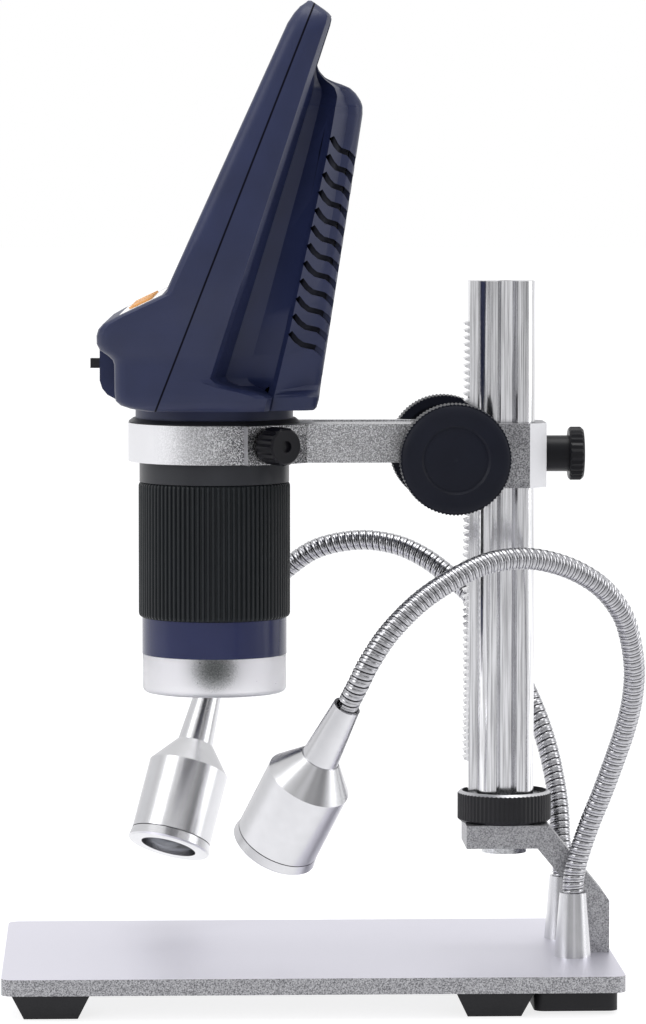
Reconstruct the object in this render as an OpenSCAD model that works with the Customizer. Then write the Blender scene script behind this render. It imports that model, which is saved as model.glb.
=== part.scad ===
// Digital microscope with its own screen, on a rack-and-pinion stand with two gooseneck lamps.
// Origin: on the floor, under the middle of the whole outline. +Z up, +X towards the column.
// The screen faces -X, and the lamp called front is the one on the -Y side.

/* [Base] */
// Length of the base plate, along X
base_l = 190; // [170:1:220]
// Depth of the base plate, along Y
base_d = 118; // [105:1:140]
// Thickness of the base plate
base_t = 5; // [4:0.5:8]
// Radius of the plate's upright corners
base_corner = 4; // [2:0.5:10]
// Height of the rubber feet
foot_h = 8; // [7.8:0.1:14]
// Length of a foot where it meets the plate
foot_top_l = 24; // [20:0.5:26]
// How much a foot's side leans in, from the plate to the floor
foot_lean = 3.8; // [1:0.2:6]
// Length of the wiring box under the plate, along X
wire_box_l = 25.6; // [24:0.4:28]
// Distance from the wiring box's ends to the plate's long edges
wire_box_inset = 9; // [7:0.5:16]
// Height of the wiring box under the plate
wire_box_h = 7; // [6:0.2:7.6]

/* [Bracket] */
// Width of the bracket that carries the column
bracket_w = 24; // [20:0.5:30]
// Thickness of the bracket's leg and arm
bracket_t = 7.2; // [6:0.2:10]
// Clear height under the bracket's arm
bracket_rise = 32.8; // [28:0.5:45]
// Distance from the plate's right edge to the bracket
bracket_inset = 0.8; // [0.4:0.1:3]

/* [Column] */
// Height of the column above the bracket
column_h = 170; // [150:1:230]
// Width of the column, across its flats
column_w = 17.7; // [16:0.1:19]
// Radius of the column's four lobes
column_lobe = 4.6; // [3:0.1:5.5]
// Width of the grooves in the column's front and back
column_groove_w = 6.4; // [5:0.1:7.5]
// Depth of those grooves
column_groove_d = 4.2; // [2:0.1:5]
// Outer diameter of the lock nut at the column's foot
lock_nut_od = 29.4; // [28.8:0.1:34]
// Height of the lock nut
lock_nut_h = 9.8; // [8:0.2:14]

/* [Focus drive] */
// Module of the rack and the pinion
rack_module = 0.7; // [0.6:0.05:0.8]
// Number of pinion teeth
pinion_teeth = 15; // [13:1:17]
// Width of the rack bar
rack_w = 8; // [6:0.5:9]
// Bar of the rack behind its teeth
rack_back = 2.7; // [2:0.1:3]
// Diameter of the focus knobs
knob_d = 34.4; // [28:0.2:38]
// Thickness of a focus knob
knob_t = 12; // [9:0.5:15]
// Distance between the outer faces of the two focus knobs
knob_span = 72; // [68:1:84]

/* [Carriage and arm] */
// Height of the carriage block
carriage_h = 20; // [18.6:0.2:26]
// Width of the carriage block and of the arm, along Y
carriage_w = 28; // [26:0.5:32]
// Height of the arm and of its ring
arm_h = 12; // [11:0.5:16]
// Height of the carriage's middle above the bracket's arm, as shown
carriage_at = 115.9; // [100:0.5:125]
// Distance from the column's axis to the lens axis
reach = 91.1; // [86:0.5:105]
// Wall of the ring round the barrel
ring_wall = 3.4; // [2.6:0.1:5]

/* [Barrel] */
// Diameter of the smooth barrel in the ring
barrel_d = 46.8; // [46:0.1:50]
// Diameter over the ribs of the focus ring
focus_ring_d = 47.4; // [47:0.1:52]
// Height of the ribbed focus ring
focus_ring_h = 42.4; // [36:0.5:50]
// Number of ribs on the focus ring
focus_ribs = 60; // [48:2:72]
// Height of the coloured ring that holds the lights
led_ring_h = 11.5; // [9:0.5:15]
// Height of the clear shade
shade_h = 12; // [9:0.5:16]

/* [Head] */
// Width of the casing beside the screen's glass, on each side
bezel_w = 7; // [6:0.5:12]
// Turn of the head in its ring, as it stands here, in degrees
head_turn = 2; // [-10:0.5:10]
// Wall of the head's shells
shell_wall = 2.2; // [1.8:0.1:2.6]
// Number of cooling slots on each side
slot_count = 12; // [8:1:12]
// Width of a cooling slot
slot_w = 1.7; // [1.2:0.1:2.2]
// Width of the screen's glass
glass_w = 114; // [106:0.5:116]
// Height of the screen's glass
glass_h = 72; // [64:0.5:74]
// Diameter of a button
button_d = 8; // [6.5:0.5:9]

/* [Lamps] */
// Diameter of a lamp's housing
lamp_d = 26; // [24:0.5:29]
// Length of a lamp's straight housing
lamp_body_l = 23.5; // [20:0.5:28]
// Length of the taper behind the housing
lamp_taper_l = 8.7; // [6:0.2:12]
// Length of the bezel ring
lamp_bezel_l = 3.5; // [3:0.1:5]
// Length of the cone at either end of a gooseneck
cone_l = 20; // [16:0.5:26]
// Wide diameter of that cone
cone_d = 11.6; // [10:0.2:13]
// Narrow diameter of that cone
cone_tip_d = 8.4; // [7.6:0.1:9]
// Diameter of a gooseneck
hose_d = 6.7; // [6:0.1:7.2]

/* [Hidden] */

// Fineness of round shapes
$fn = 64;
// Gap of a fit that runs or turns
run = 0.06;
// Gap between faces that pass each other
pass = 0.25;
// Overshoot of a cut past the face that it opens
cut = 1;

// Colours
alu = [0.87, 0.87, 0.90];
sand_grey = [0.62, 0.62, 0.64];
steel = [0.72, 0.73, 0.75];
black = [0.10, 0.10, 0.11];
navy = [0.22, 0.24, 0.33];
clear = [0.85, 0.87, 0.92, 0.5];
board_green = [0.10, 0.32, 0.20];
brass = [0.78, 0.65, 0.35];

// Places and sizes, worked out from the sizes above
wire_box_d = base_d - 2 * wire_box_inset;
head_w = glass_w + 2 * bezel_w;
base_x = -3.8;                                     // the outline's middle is a little right of the plate's
base_top = foot_h + base_t;
base_right = base_x + base_l / 2;
bracket_right = base_right - bracket_inset;
column_x = bracket_right - 32.2;
seat_z = base_top + bracket_rise + bracket_t;
column_top = seat_z + column_h;
axis_x = column_x - reach;
carriage_z = seat_z + carriage_at;
ring_top = carriage_z + carriage_h / 2;
ring_bottom = ring_top - arm_h;
arm_z = ring_top - arm_h / 2;

// Rack and pinion
pitch_r = rack_module * pinion_teeth / 2;
tooth_pitch = PI * rack_module;
pressure = 20;
backlash = 0.16;
rack_tip_x = column_x - column_w / 2 - rack_back - 2.25 * rack_module;
pitch_line_x = rack_tip_x + rack_module;
pinion_x = pitch_line_x - pitch_r;
shaft_r = 3;
pinion_w = rack_w + 1;

// Barrel
barrel_r = barrel_d / 2;
ring_r = barrel_r + run + ring_wall;
flange_h = 1.4;
collar_h = 3.7;
smooth_h = 6.5;                                    // bare barrel under the ring
focus_top = ring_bottom - smooth_h;
focus_bottom = focus_top - focus_ring_h;
led_bottom = focus_bottom - led_ring_h;
shade_bottom = led_bottom - shade_h;
guide_r = focus_ring_d / 2 - 3.4;                  // the tube that the focus ring turns on
tube_bore_r = guide_r - 2.5;
led_r = focus_ring_d / 2 - 1.1;
led_bore_r = led_r - 2;
led_seat_h = 2.4;                                  // flange that carries the lights
window_r = 10.95;
shade_r = led_r - 0.15;
shade_wall = 1.8;

// ---------------------------------------------------------------- stand

wire_box_x = base_right - 14.5;
wire_box_wall = 1.6;
foot_x = [base_x - base_l / 2 + 15, wire_box_x - wire_box_l / 2 - foot_top_l / 2 - 0.5];
foot_y = base_d / 2 - 2.5 - foot_top_l / 2;
leg_hole_y = bracket_w / 4;
leg_x = bracket_right - bracket_t / 2;
boot_front = [base_right - 12.8, -bracket_w / 2 - 6.6];
boot_rear = [base_right - 12.8, bracket_w / 2 + 6.6];
boot_thread_r = 4;
boot_bore_r = hose_d / 2 + run;

module rounded_rect(l, d, r) {
    for (sx = [-1, 1])
        translate([sx * (l / 2 - r), 0])
            square([2 * r, d - 2 * r], center = true);
    square([l - 2 * r, d], center = true);
    for (sx = [-1, 1], sy = [-1, 1])
        translate([sx * (l / 2 - r), sy * (d / 2 - r)])
            circle(r);
}

module base_plate() {
    color(alu)
    difference() {
        translate([base_x, 0, foot_h])
            linear_extrude(base_t)
                rounded_rect(base_l, base_d, base_corner);
        for (sy = [-1, 1])
            translate([leg_x, sy * leg_hole_y, 0])
                leg_screw_hole();
        for (p = [boot_front, boot_rear])
            translate([p[0], p[1], foot_h - cut])
                cylinder(r = boot_thread_r + run, h = base_t + 2 * cut);
    }
}

// Countersunk hole for a screw that comes up through the plate
module leg_screw_hole() {
    translate([0, 0, foot_h - cut])
        cylinder(r = 2.2, h = base_t + 2 * cut);
    translate([0, 0, foot_h - 0.01])
        cylinder(r = 3.7, h = 2.6);
}

module foot_solid() {
    top = foot_top_l / 2;
    low = top - foot_lean;
    rotate([90, 0, 0])
        translate([0, 0, -top])
            linear_extrude(foot_top_l)
                polygon([[-low, 0], [low, 0], [top, foot_h], [-top, foot_h]]);
}

module feet() {
    color(black)
    for (x = foot_x, sy = [-1, 1])
        intersection() {
            translate([x, sy * foot_y, 0])
                foot_solid();
            translate([x, sy * foot_y, 0])
                rotate([0, 0, 90])
                    foot_solid();
        }
}

// Outline of the bracket, seen along Y: a leg, a slope and an arm
module bracket_outline() {
    arm_top = seat_z;
    arm_low = seat_z - bracket_t;
    arm_left = column_x - 12.6;
    leg_left = bracket_right - bracket_t;
    polygon([
        [bracket_right, base_top],
        [bracket_right, base_top + 16.2],
        [bracket_right - 0.6, base_top + 17.2],
        [column_x + 13.1, arm_top],
        [arm_left, arm_top],
        [arm_left, arm_low],
        [column_x + 9.6, arm_low],
        [leg_left, base_top + 14.2],
        [leg_left, base_top]
    ]);
}

module stand_bracket() {
    color(sand_grey)
    difference() {
        translate([0, bracket_w / 2, 0])
            rotate([90, 0, 0])
                linear_extrude(bracket_w)
                    bracket_outline();
        translate([column_x, 0, seat_z - bracket_t - cut])
            cylinder(r = foot_stub_r + run, h = bracket_t + 2 * cut);
        for (sy = [-1, 1])
            translate([leg_x, sy * leg_hole_y, base_top - cut])
                cylinder(r = 1.7, h = 11 + cut);
    }
}

module bracket_screws() {
    color(steel)
    for (sy = [-1, 1])
        translate([leg_x, sy * leg_hole_y, foot_h + 0.2])
            difference() {
                union() {
                    cylinder(r = 3.5, h = 2.2);
                    cylinder(r = 1.65, h = base_t + 9);
                }
                translate([0, 0, -0.01])
                    cylinder(r = 1.45, h = 1.5, $fn = 6);
            }
}

module wire_box() {
    inner_l = wire_box_l - 2 * wire_box_wall;
    inner_d = wire_box_d - 2 * wire_box_wall;
    color(black)
    translate([wire_box_x, 0, foot_h - wire_box_h])
        difference() {
            linear_extrude(wire_box_h)
                rounded_rect(wire_box_l, wire_box_d, 3);
            translate([0, 0, wire_box_wall])
                linear_extrude(wire_box_h)
                    rounded_rect(inner_l, inner_d, 1.8);
            translate([0, wire_box_d / 2 - cut - wire_box_wall, wire_box_h - 4.4])
                translate([-4.6, 0, 0])
                    cube([9.2, wire_box_wall + 2 * cut, 3.3]);
        }
}

// Lamp driver board, with the power socket in the back wall of the box
module lamp_board() {
    board_d = 26;
    y0 = wire_box_d / 2 - wire_box_wall - board_d - 0.2;
    color(board_green)
    translate([wire_box_x - 9, y0, foot_h - wire_box_h + wire_box_wall])
        union() {
            cube([18, board_d, 1.2]);
            translate([5.2, board_d - 7, 1.1])
                cube([7.6, 8.4, 2.8]);
            translate([3, 12, 1.1])
                cube([5, 5, 1.6]);
        }
}

module boot_nuts() {
    color(steel)
    for (p = [boot_front, boot_rear])
        translate([p[0], p[1], foot_h - 2.8])
            difference() {
                cylinder(r = 6.2, h = 2.8, $fn = 6);
                translate([0, 0, -cut])
                    cylinder(r = boot_thread_r + 0.02, h = 2.8 + 2 * cut);
            }
}

module boot_at(p) {
    color(steel)
    translate([p[0], p[1], base_top])
        difference() {
            union() {
                cylinder(r1 = cone_d / 2, r2 = cone_tip_d / 2, h = cone_l);
                translate([0, 0, -base_t - 3.4])
                    cylinder(r = boot_thread_r, h = base_t + 3.5);
            }
            translate([0, 0, cone_l - boot_grip])
                cylinder(r = boot_bore_r, h = boot_grip + cut);
            translate([0, 0, -base_t - 3.4 - cut])
                cylinder(r = 1.6, h = base_t + cone_l);
        }
}

boot_grip = 8;

module front_boot() {
    boot_at(boot_front);
}

module rear_boot() {
    boot_at(boot_rear);
}

// ---------------------------------------------------------------- column

foot_stub_r = 7;
foot_disc_r = lock_nut_od / 2 - 1.5;
foot_disc_h = 8.6;
socket_d = 4.6;                                    // how deep the column sits in its foot
column_base = seat_z + foot_disc_h - socket_d;

// Cross-section of the column, centred on its axis
module column_outline(grow = 0) {
    side = column_w / 2 + grow;
    lobe = column_lobe + grow;
    mouth = column_groove_w / 2 - grow;
    depth = column_groove_d - grow;
    difference() {
        union() {
            for (sx = [-1, 1], sy = [-1, 1])
                translate([sx * (side - lobe), sy * (side - lobe)])
                    circle(lobe);
            square([2 * (side - lobe), 2 * side], center = true);
            square([2 * side, 2 * (side - lobe)], center = true);
        }
        for (sy = [-1, 1])
            translate([0, sy * side])
                polygon([
                    [-mouth, sy],
                    [-mouth, -sy * depth * 0.45],
                    [-mouth * 0.55, -sy * depth],
                    [mouth * 0.55, -sy * depth],
                    [mouth, -sy * depth * 0.45],
                    [mouth, sy]
                ]);
    }
}

module column() {
    color(alu)
    difference() {
        translate([column_x, 0, column_base])
            linear_extrude(column_top - column_base)
                column_outline();
        translate([column_x, 0, column_base - cut])
            cylinder(r = 2.1, h = column_top);
    }
}

// Where the rack starts, and its teeth as counted from the pinion's height
rack_low = seat_z + lock_nut_h + 0.4;
teeth_low = -floor((carriage_z - rack_low - 8.2) / tooth_pitch);
teeth_high = floor((column_top - 10.5 - carriage_z) / tooth_pitch) - 1;

// Root and tip of one tooth whose middle is at height z, from its upper side to its lower one
function rack_tooth(root_x, z) =
    let (
        tip_x = pitch_line_x - rack_module * 0.92,
        tip_half = tooth_pitch / 4 - rack_module * tan(pressure) - backlash / 2,
        root_half = tooth_pitch / 4 + 1.2 * rack_module * tan(pressure) - backlash / 2
    )
    [[root_x, z + root_half], [tip_x, z + tip_half], [tip_x, z - tip_half], [root_x, z - root_half]];

module rack() {
    root_x = pitch_line_x + 1.25 * rack_module;
    back_x = column_x - column_w / 2;
    teeth = [
        for (k = [teeth_high : -1 : teeth_low])
            for (p = rack_tooth(root_x, carriage_z + (k + 0.5) * tooth_pitch)) p
    ];
    color(alu)
    translate([0, rack_w / 2, 0])
        rotate([90, 0, 0])
            linear_extrude(rack_w)
                polygon(concat(
                    [[root_x, rack_low], [back_x, rack_low], [back_x, column_top], [root_x, column_top]],
                    teeth
                ));
}

module column_foot() {
    color(steel)
    translate([column_x, 0, seat_z])
        difference() {
            union() {
                cylinder(r = foot_disc_r, h = foot_disc_h);
                translate([0, 0, -bracket_t - 2.4])
                    cylinder(r = foot_stub_r, h = bracket_t + 2.5);
            }
            translate([0, 0, foot_disc_h - socket_d])
                linear_extrude(socket_d + cut)
                    square(column_w + 0.04, center = true);
            translate([0, 0, -bracket_t - 2.4 - cut])
                cylinder(r = 2.1, h = bracket_t + foot_disc_h + 5);
        }
}

// Zigzag outline of a knurled edge
function knurl(r, depth, n) = [
    for (i = [0 : 2 * n - 1])
        let (a = 180 * i / n, rr = r - (i % 2) * depth)
            [rr * cos(a), rr * sin(a)]
];

module lock_nut() {
    bore_r = foot_disc_r + run;
    lip = 1.1;
    color(black)
    translate([column_x, 0, seat_z + 0.1])
        difference() {
            intersection() {
                linear_extrude(lock_nut_h)
                    polygon(knurl(lock_nut_od / 2, 0.25, 64));
                rotate_extrude()
                    polygon([
                        [0, 0],
                        [lock_nut_od / 2 - lip, 0],
                        [lock_nut_od / 2 + 0.1, lip],
                        [lock_nut_od / 2 + 0.1, lock_nut_h - lip * 0.8],
                        [lock_nut_od / 2 - lip * 0.8, lock_nut_h],
                        [0, lock_nut_h]
                    ]);
            }
            translate([0, 0, -cut])
                cylinder(r = bore_r, h = lock_nut_h + 2 * cut);
        }
}

// ---------------------------------------------------------------- carriage, arm and drive

block_left = pinion_x - 10.5;
block_right = column_x + column_w / 2 + 3.4;
block_chamfer = 5.6;
joint_x = block_left;

module block_plan() {
    half = carriage_w / 2;
    polygon([
        [block_left, -half],
        [block_right - block_chamfer, -half],
        [block_right, -half + block_chamfer],
        [block_right, half - block_chamfer],
        [block_right - block_chamfer, half],
        [block_left, half]
    ]);
}

module carriage_block() {
    gear_r = pitch_r + rack_module + 0.35;
    color(sand_grey)
    difference() {
        translate([0, 0, carriage_z - carriage_h / 2])
            linear_extrude(carriage_h)
                block_plan();
        translate([column_x, 0, carriage_z - carriage_h / 2 - cut])
            linear_extrude(carriage_h + 2 * cut)
                union() {
                    column_outline(pass);
                    translate([-column_w / 2 - rack_back - 2.25 * rack_module - pass, -rack_w / 2 - pass])
                        square([column_w / 2 + rack_back, rack_w + 2 * pass]);
                }
        translate([pinion_x, 0, carriage_z])
            rotate([90, 0, 0])
                cylinder(r = gear_r, h = pinion_w + 0.8, center = true);
        translate([pinion_x, 0, carriage_z])
            rotate([90, 0, 0])
                cylinder(r = shaft_r + run, h = carriage_w + 2 * cut, center = true);
        translate([column_x, 0, carriage_z])
            rotate([0, 90, 0])
                cylinder(r = 3 + run, h = 40);
        for (sy = [-1, 1])
            translate([joint_x - cut, sy * arm_screw_y, arm_z])
                rotate([0, 90, 0])
                    cylinder(r = 1.5, h = 7 + cut);
    }
}

arm_screw_y = 9.5;
boss_turn = -56;                                   // where the ring's clamp boss points, seen from above
boss_r = 29.2;
boss_w = 16;

// Ring, boss and arm, seen from above with the lens axis at the origin
module arm_plan() {
    half = carriage_w / 2;
    arm_l = joint_x - axis_x;
    corner = boss_r * [cos(boss_turn), sin(boss_turn)];
    along = boss_w / 2 * [-sin(boss_turn), cos(boss_turn)];
    circle(ring_r);
    polygon([
        [0, 0],
        corner - along,
        corner + along,
        [ring_r + 1.6, -half],
        [arm_l, -half],
        [arm_l, half],
        [ring_r - 3, half],
        (ring_r - 0.5) * [cos(60), sin(60)]
    ]);
}

module holder_arm() {
    color(sand_grey)
    translate([axis_x, 0, 0])
        difference() {
            translate([0, 0, ring_bottom])
                linear_extrude(arm_h)
                    arm_plan();
            translate([0, 0, ring_bottom - cut])
                cylinder(r = barrel_r + run, h = arm_h + 2 * cut);
            translate([0, 0, arm_z])
                rotate([0, 90, boss_turn])
                    cylinder(r = 2 + run, h = boss_r + cut);
            // shallow channel along the arm's upper face
            translate([ring_r + 4, -carriage_w / 2 + 3, ring_top - 0.5])
                cube([joint_x - axis_x - ring_r - 4 + cut, carriage_w - 6, 0.5 + cut]);
            for (sy = [-1, 1])
                translate([joint_x - axis_x - 14, sy * arm_screw_y, arm_z])
                    rotate([0, 90, 0])
                        cylinder(r = 1.6, h = 14 + cut);
            for (sy = [-1, 1])
                translate([joint_x - axis_x - 14, sy * arm_screw_y, arm_z - arm_h])
                    translate([-3.2, -2.9, 0])
                        cube([9.2, 5.8, arm_h + 2.9]);
        }
}

module arm_screws() {
    color(steel)
    for (sy = [-1, 1])
        translate([joint_x - 8, sy * arm_screw_y, arm_z])
            rotate([0, 90, 0])
                union() {
                    translate([0, 0, -2.9])
                        cylinder(r = 2.7, h = 2.9);
                    cylinder(r = 1.45, h = 14.4);
                }
}

module thumb_screw(head_r, head_l, neck_r, neck_l, tip_r, tip_l, ribs) {
    difference() {
        union() {
            translate([0, 0, neck_l])
                intersection() {
                    linear_extrude(head_l)
                        polygon(knurl(head_r, 0.45, ribs));
                    rotate_extrude()
                        polygon([
                            [0, 0],
                            [head_r - 0.6, 0],
                            [head_r + 0.1, 0.7],
                            [head_r + 0.1, head_l - 1],
                            [head_r - 0.8, head_l],
                            [0, head_l]
                        ]);
                }
            cylinder(r = neck_r, h = neck_l + 0.1);
            translate([0, 0, -tip_l])
                cylinder(r = tip_r, h = tip_l + 0.1);
        }
        translate([0, 0, neck_l + head_l - 1.2])
            cylinder(r = head_r * 0.3, h = 1.2 + cut);
    }
}

// Screw that clamps the carriage to the column
module carriage_screw() {
    wall = block_right - column_x - column_w / 2;
    color(black)
    translate([block_right + 0.15, 0, carriage_z])
        rotate([0, 90, 0])
            thumb_screw(8.35, 4.6, 5.65, 7.4, 3, wall - 0.1, 26);
}

// Screw that clamps the barrel in the ring
module ring_screw() {
    color(black)
    translate([axis_x, 0, arm_z])
        rotate([0, 90, boss_turn])
            translate([0, 0, boss_r + 0.15])
                thumb_screw(5.9, 8.6, 3, 0.6, 2, boss_r - barrel_r - 0.05, 20);
}

// Involute of the pinion, as a distance along the base circle's tangent
function involute(rb, t) = [
    rb * (cos(t) + t * PI / 180 * sin(t)),
    rb * (sin(t) - t * PI / 180 * cos(t))
];
function turned(p, a) = [p[0] * cos(a) - p[1] * sin(a), p[0] * sin(a) + p[1] * cos(a)];

// One tooth's outline from its lower root to its upper root, pointing along +X
function pinion_tooth(steps = 4) =
    let (
        rb = pitch_r * cos(pressure),
        ro = pitch_r + 0.92 * rack_module,
        rr = pitch_r - 1.25 * rack_module,
        t_end = sqrt(pow(ro / rb, 2) - 1) * 180 / PI,
        t_pitch = tan(pressure) * 180 / PI,
        half = 90 / pinion_teeth - backlash / 2 / pitch_r * 180 / PI + t_pitch - pressure,
        flank = [for (i = [0 : steps]) turned(involute(rb, t_end * i / steps), -half)],
        foot = turned([rr, 0], -half)
    )
    concat([foot], flank, [for (i = [steps : -1 : 0]) [flank[i][0], -flank[i][1]]], [[foot[0], -foot[1]]]);

module pinion_gear() {
    one = pinion_tooth();
    polygon([for (k = [0 : pinion_teeth - 1], p = one) turned(p, 360 * k / pinion_teeth)]);
}

module pinion_shaft() {
    shaft_l = knob_span - 8;
    color(steel)
    translate([pinion_x, 0, carriage_z])
        rotate([90, 0, 0])
            union() {
                cylinder(r = shaft_r, h = shaft_l, center = true);
                linear_extrude(pinion_w, center = true)
                    pinion_gear();
            }
}

// Focus knob, with its outer face towards +Z
module knob_solid() {
    r = knob_d / 2;
    hub_l = knob_span / 2 - knob_t - carriage_w / 2 - 0.3;
    disc_r = knob_d * 0.285;
    difference() {
        union() {
            linear_extrude(knob_t - 2.6)
                polygon(knurl(r, 0.4, 90));
            rotate_extrude()
                polygon([
                    [0, 1],
                    [r - 0.7, 1],
                    [r - 0.7, knob_t - 2.1],
                    [r - 1.6, knob_t - 1.5],
                    [disc_r + 0.8, knob_t - 0.3],
                    [disc_r, knob_t - 0.9],
                    [disc_r - 0.8, knob_t - 0.6],
                    [disc_r * 0.5, knob_t - 0.1],
                    [0, knob_t]
                ]);
            translate([0, 0, -hub_l])
                cylinder(r = 8, h = hub_l + 0.1);
        }
        translate([0, 0, -hub_l - cut])
            cylinder(r = shaft_r, h = hub_l + knob_t - 4 + cut);
        // hollow back of the rim
        translate([0, 0, -cut])
            difference() {
                cylinder(r = r - 3, h = 3 + cut);
                translate([0, 0, -cut])
                    cylinder(r = 8, h = 6 + cut);
            }
    }
}

module front_knob() {
    color(black)
    translate([pinion_x, -knob_span / 2 + knob_t, carriage_z])
        rotate([90, 0, 0])
            knob_solid();
}

module rear_knob() {
    color(black)
    translate([pinion_x, knob_span / 2 - knob_t, carriage_z])
        rotate([-90, 0, 0])
            knob_solid();
}

// ---------------------------------------------------------------- barrel

module on_axis(z) {
    translate([axis_x, 0, z])
        children();
}

module head_flange() {
    color(black)
    on_axis(ring_top)
        difference() {
            rotate_extrude()
                polygon([
                    [0, 0],
                    [ring_r - 0.4, 0],
                    [ring_r - 0.1, 0.4],
                    [ring_r - 1.4, flange_h],
                    [0, flange_h]
                ]);
            translate([0, 0, -cut])
                cylinder(r = barrel_r, h = flange_h + 2 * cut);
        }
}

module head_collar() {
    color(navy)
    on_axis(ring_top + flange_h)
        difference() {
            cylinder(r = barrel_r + 1.2, h = collar_h);
            translate([0, 0, -cut])
                cylinder(r = barrel_r, h = collar_h + 2 * cut);
        }
}

module barrel_tube() {
    top = ring_top + flange_h + collar_h;
    color(black)
    difference() {
        union() {
            on_axis(focus_top)
                cylinder(r = barrel_r, h = top - focus_top);
            on_axis(focus_bottom)
                cylinder(r = guide_r, h = top - focus_bottom);
            on_axis(focus_bottom - led_seat_h)
                cylinder(r = led_bore_r - 0.02, h = led_seat_h + 0.1);
        }
        on_axis(focus_bottom - led_seat_h - cut)
            cylinder(r = window_r + 0.05, h = led_seat_h + 2 * cut);
        on_axis(focus_bottom + 0.1)
            cylinder(r = tube_bore_r, h = top - focus_bottom + cut);
        for (a = barrel_screw_turns)
            in_head()
                rotate([0, 0, a])
                    translate([barrel_screw_r, 0, head_low - 7])
                        cylinder(r = screw_r + 0.02, h = 7 + cut);
    }
}

module sensor_board() {
    color(board_green)
    on_axis(ring_bottom)
        union() {
            cylinder(r = tube_bore_r - 0.02, h = 1.6);
            translate([-6, -6, -1.4])
                cube([12, 12, 1.5]);
        }
}

// Outline of the ribbed ring: flat-topped ribs with narrow grooves between them
function rib_outline(r, depth, n) = [
    for (i = [0 : n - 1], k = [0 : 3])
        let (
            a = 360 / n * (i + [0.12, 0.2, 0.8, 0.88][k]),
            rr = (k == 0 || k == 3) ? r - depth : r
        )
            [rr * cos(a), rr * sin(a)]
];

module focus_ring() {
    r = focus_ring_d / 2;
    color(black)
    on_axis(focus_bottom + 0.1)
        difference() {
            intersection() {
                linear_extrude(focus_ring_h - 0.2)
                    polygon(rib_outline(r, 0.8, focus_ribs));
                rotate_extrude()
                    polygon([
                        [0, 0],
                        [r - 0.9, 0],
                        [r + 0.1, 1],
                        [r + 0.1, focus_ring_h - 1.2],
                        [r - 0.9, focus_ring_h - 0.2],
                        [0, focus_ring_h - 0.2]
                    ]);
            }
            translate([0, 0, -cut])
                cylinder(r = guide_r + run, h = focus_ring_h + 2 * cut);
        }
}

cell_l = 22;
cell_z = focus_bottom + 6;

module lens_cell() {
    color(steel)
    on_axis(cell_z)
        difference() {
            cylinder(r = tube_bore_r - run, h = cell_l);
            translate([0, 0, -cut])
                cylinder(r = 8, h = 7 + cut);
            translate([0, 0, 6])
                cylinder(r = 6.5, h = cell_l);
            translate([0, 0, 11])
                cylinder(r = tube_bore_r - 2, h = cell_l);
        }
}

// Biconvex lens, seated in the lower end of its cell
module objective_lens() {
    bulge = 1.1;
    color(clear)
    on_axis(cell_z + 1)
        rotate_extrude()
            polygon(concat(
                [[0, -bulge]],
                [for (a = [15 : 15 : 90]) [8 * sin(a), -bulge * cos(a)]],
                [for (a = [90 : -15 : 15]) [8 * sin(a), 4 + bulge * cos(a)]],
                [[0, 4 + bulge]]
            ));
}

// Coloured skirt round the lights, pressed on the barrel's lower flange
module led_housing() {
    color(navy)
    on_axis(led_bottom)
        difference() {
            cylinder(r = led_r, h = led_ring_h);
            translate([0, 0, -cut])
                cylinder(r = led_bore_r, h = led_ring_h + 2 * cut);
        }
}

module led_board() {
    leds = 8;
    color("white")
    on_axis(led_bottom + led_ring_h - led_seat_h - 1.6)
        difference() {
            union() {
                cylinder(r = led_bore_r - 0.05, h = 1.6);
                for (i = [0 : leds - 1])
                    rotate([0, 0, 360 / leds * i])
                        translate([15.2, 0, -1.2])
                            cylinder(r = 2.2, h = 1.3);
            }
            translate([0, 0, -3])
                cylinder(r = 9, h = 6);
        }
}

module lens_window() {
    color(clear)
    on_axis(led_bottom + led_ring_h - led_seat_h)
        cylinder(r = window_r, h = 1.6);
}

module shade() {
    inner = shade_r - shade_wall;
    edge = 1.6;
    color(clear)
    on_axis(shade_bottom)
        rotate_extrude()
            polygon(concat(
                [[inner, 0], [shade_r - edge, 0]],
                [for (a = [-67.5 : 22.5 : 0]) [shade_r - edge + edge * cos(a), edge + edge * sin(a)]],
                [[shade_r, shade_h], [inner, shade_h]]
            ));
}

// ---------------------------------------------------------------- head

// The head's skin is worked out level by level. Each table gives a distance at heights above the ring.
head_low = flange_h + collar_h;
head_high = 129.4;
face_lean = 24.5;                                  // how far the screen leans back from upright
face_low_u = -14.6;                                // where the screen's plane starts, and how high
face_low_v = 39.5;
half_w = head_w / 2;
head_ahead = 0.4;                                  // how far the head sits towards -X of the lens axis

// Front of the head: chin, switch recess, nose, button slope, screen, top edge
front_line = [
    [head_low, -20], [5.9, -24.6], [7, -27.6], [8.4, -29.1], [10.9, -29.4], [19.6, -29.4],
    [21.1, -29.9], [22.5, -31.4], [24.1, -33.7], [26, -34.6], [28.5, -34.6], [30.5, -34],
    [32.2, -32.5], [34.4, -28.5], [41.2, -14.2], [42.2, face_u(42.2)],
    [head_high - 6.8, face_u(head_high - 6.8)], [head_high - 3.8, face_u(head_high - 3.8) + 0.6],
    [head_high - 1.8, face_u(head_high - 1.8) + 1.5], [head_high - 0.6, face_u(head_high - 0.6) + 2.7],
    [head_high, face_u(head_high) + 3.03021]
];
function face_u(v) = face_low_u + (v - face_low_v) * tan(face_lean);

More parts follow.
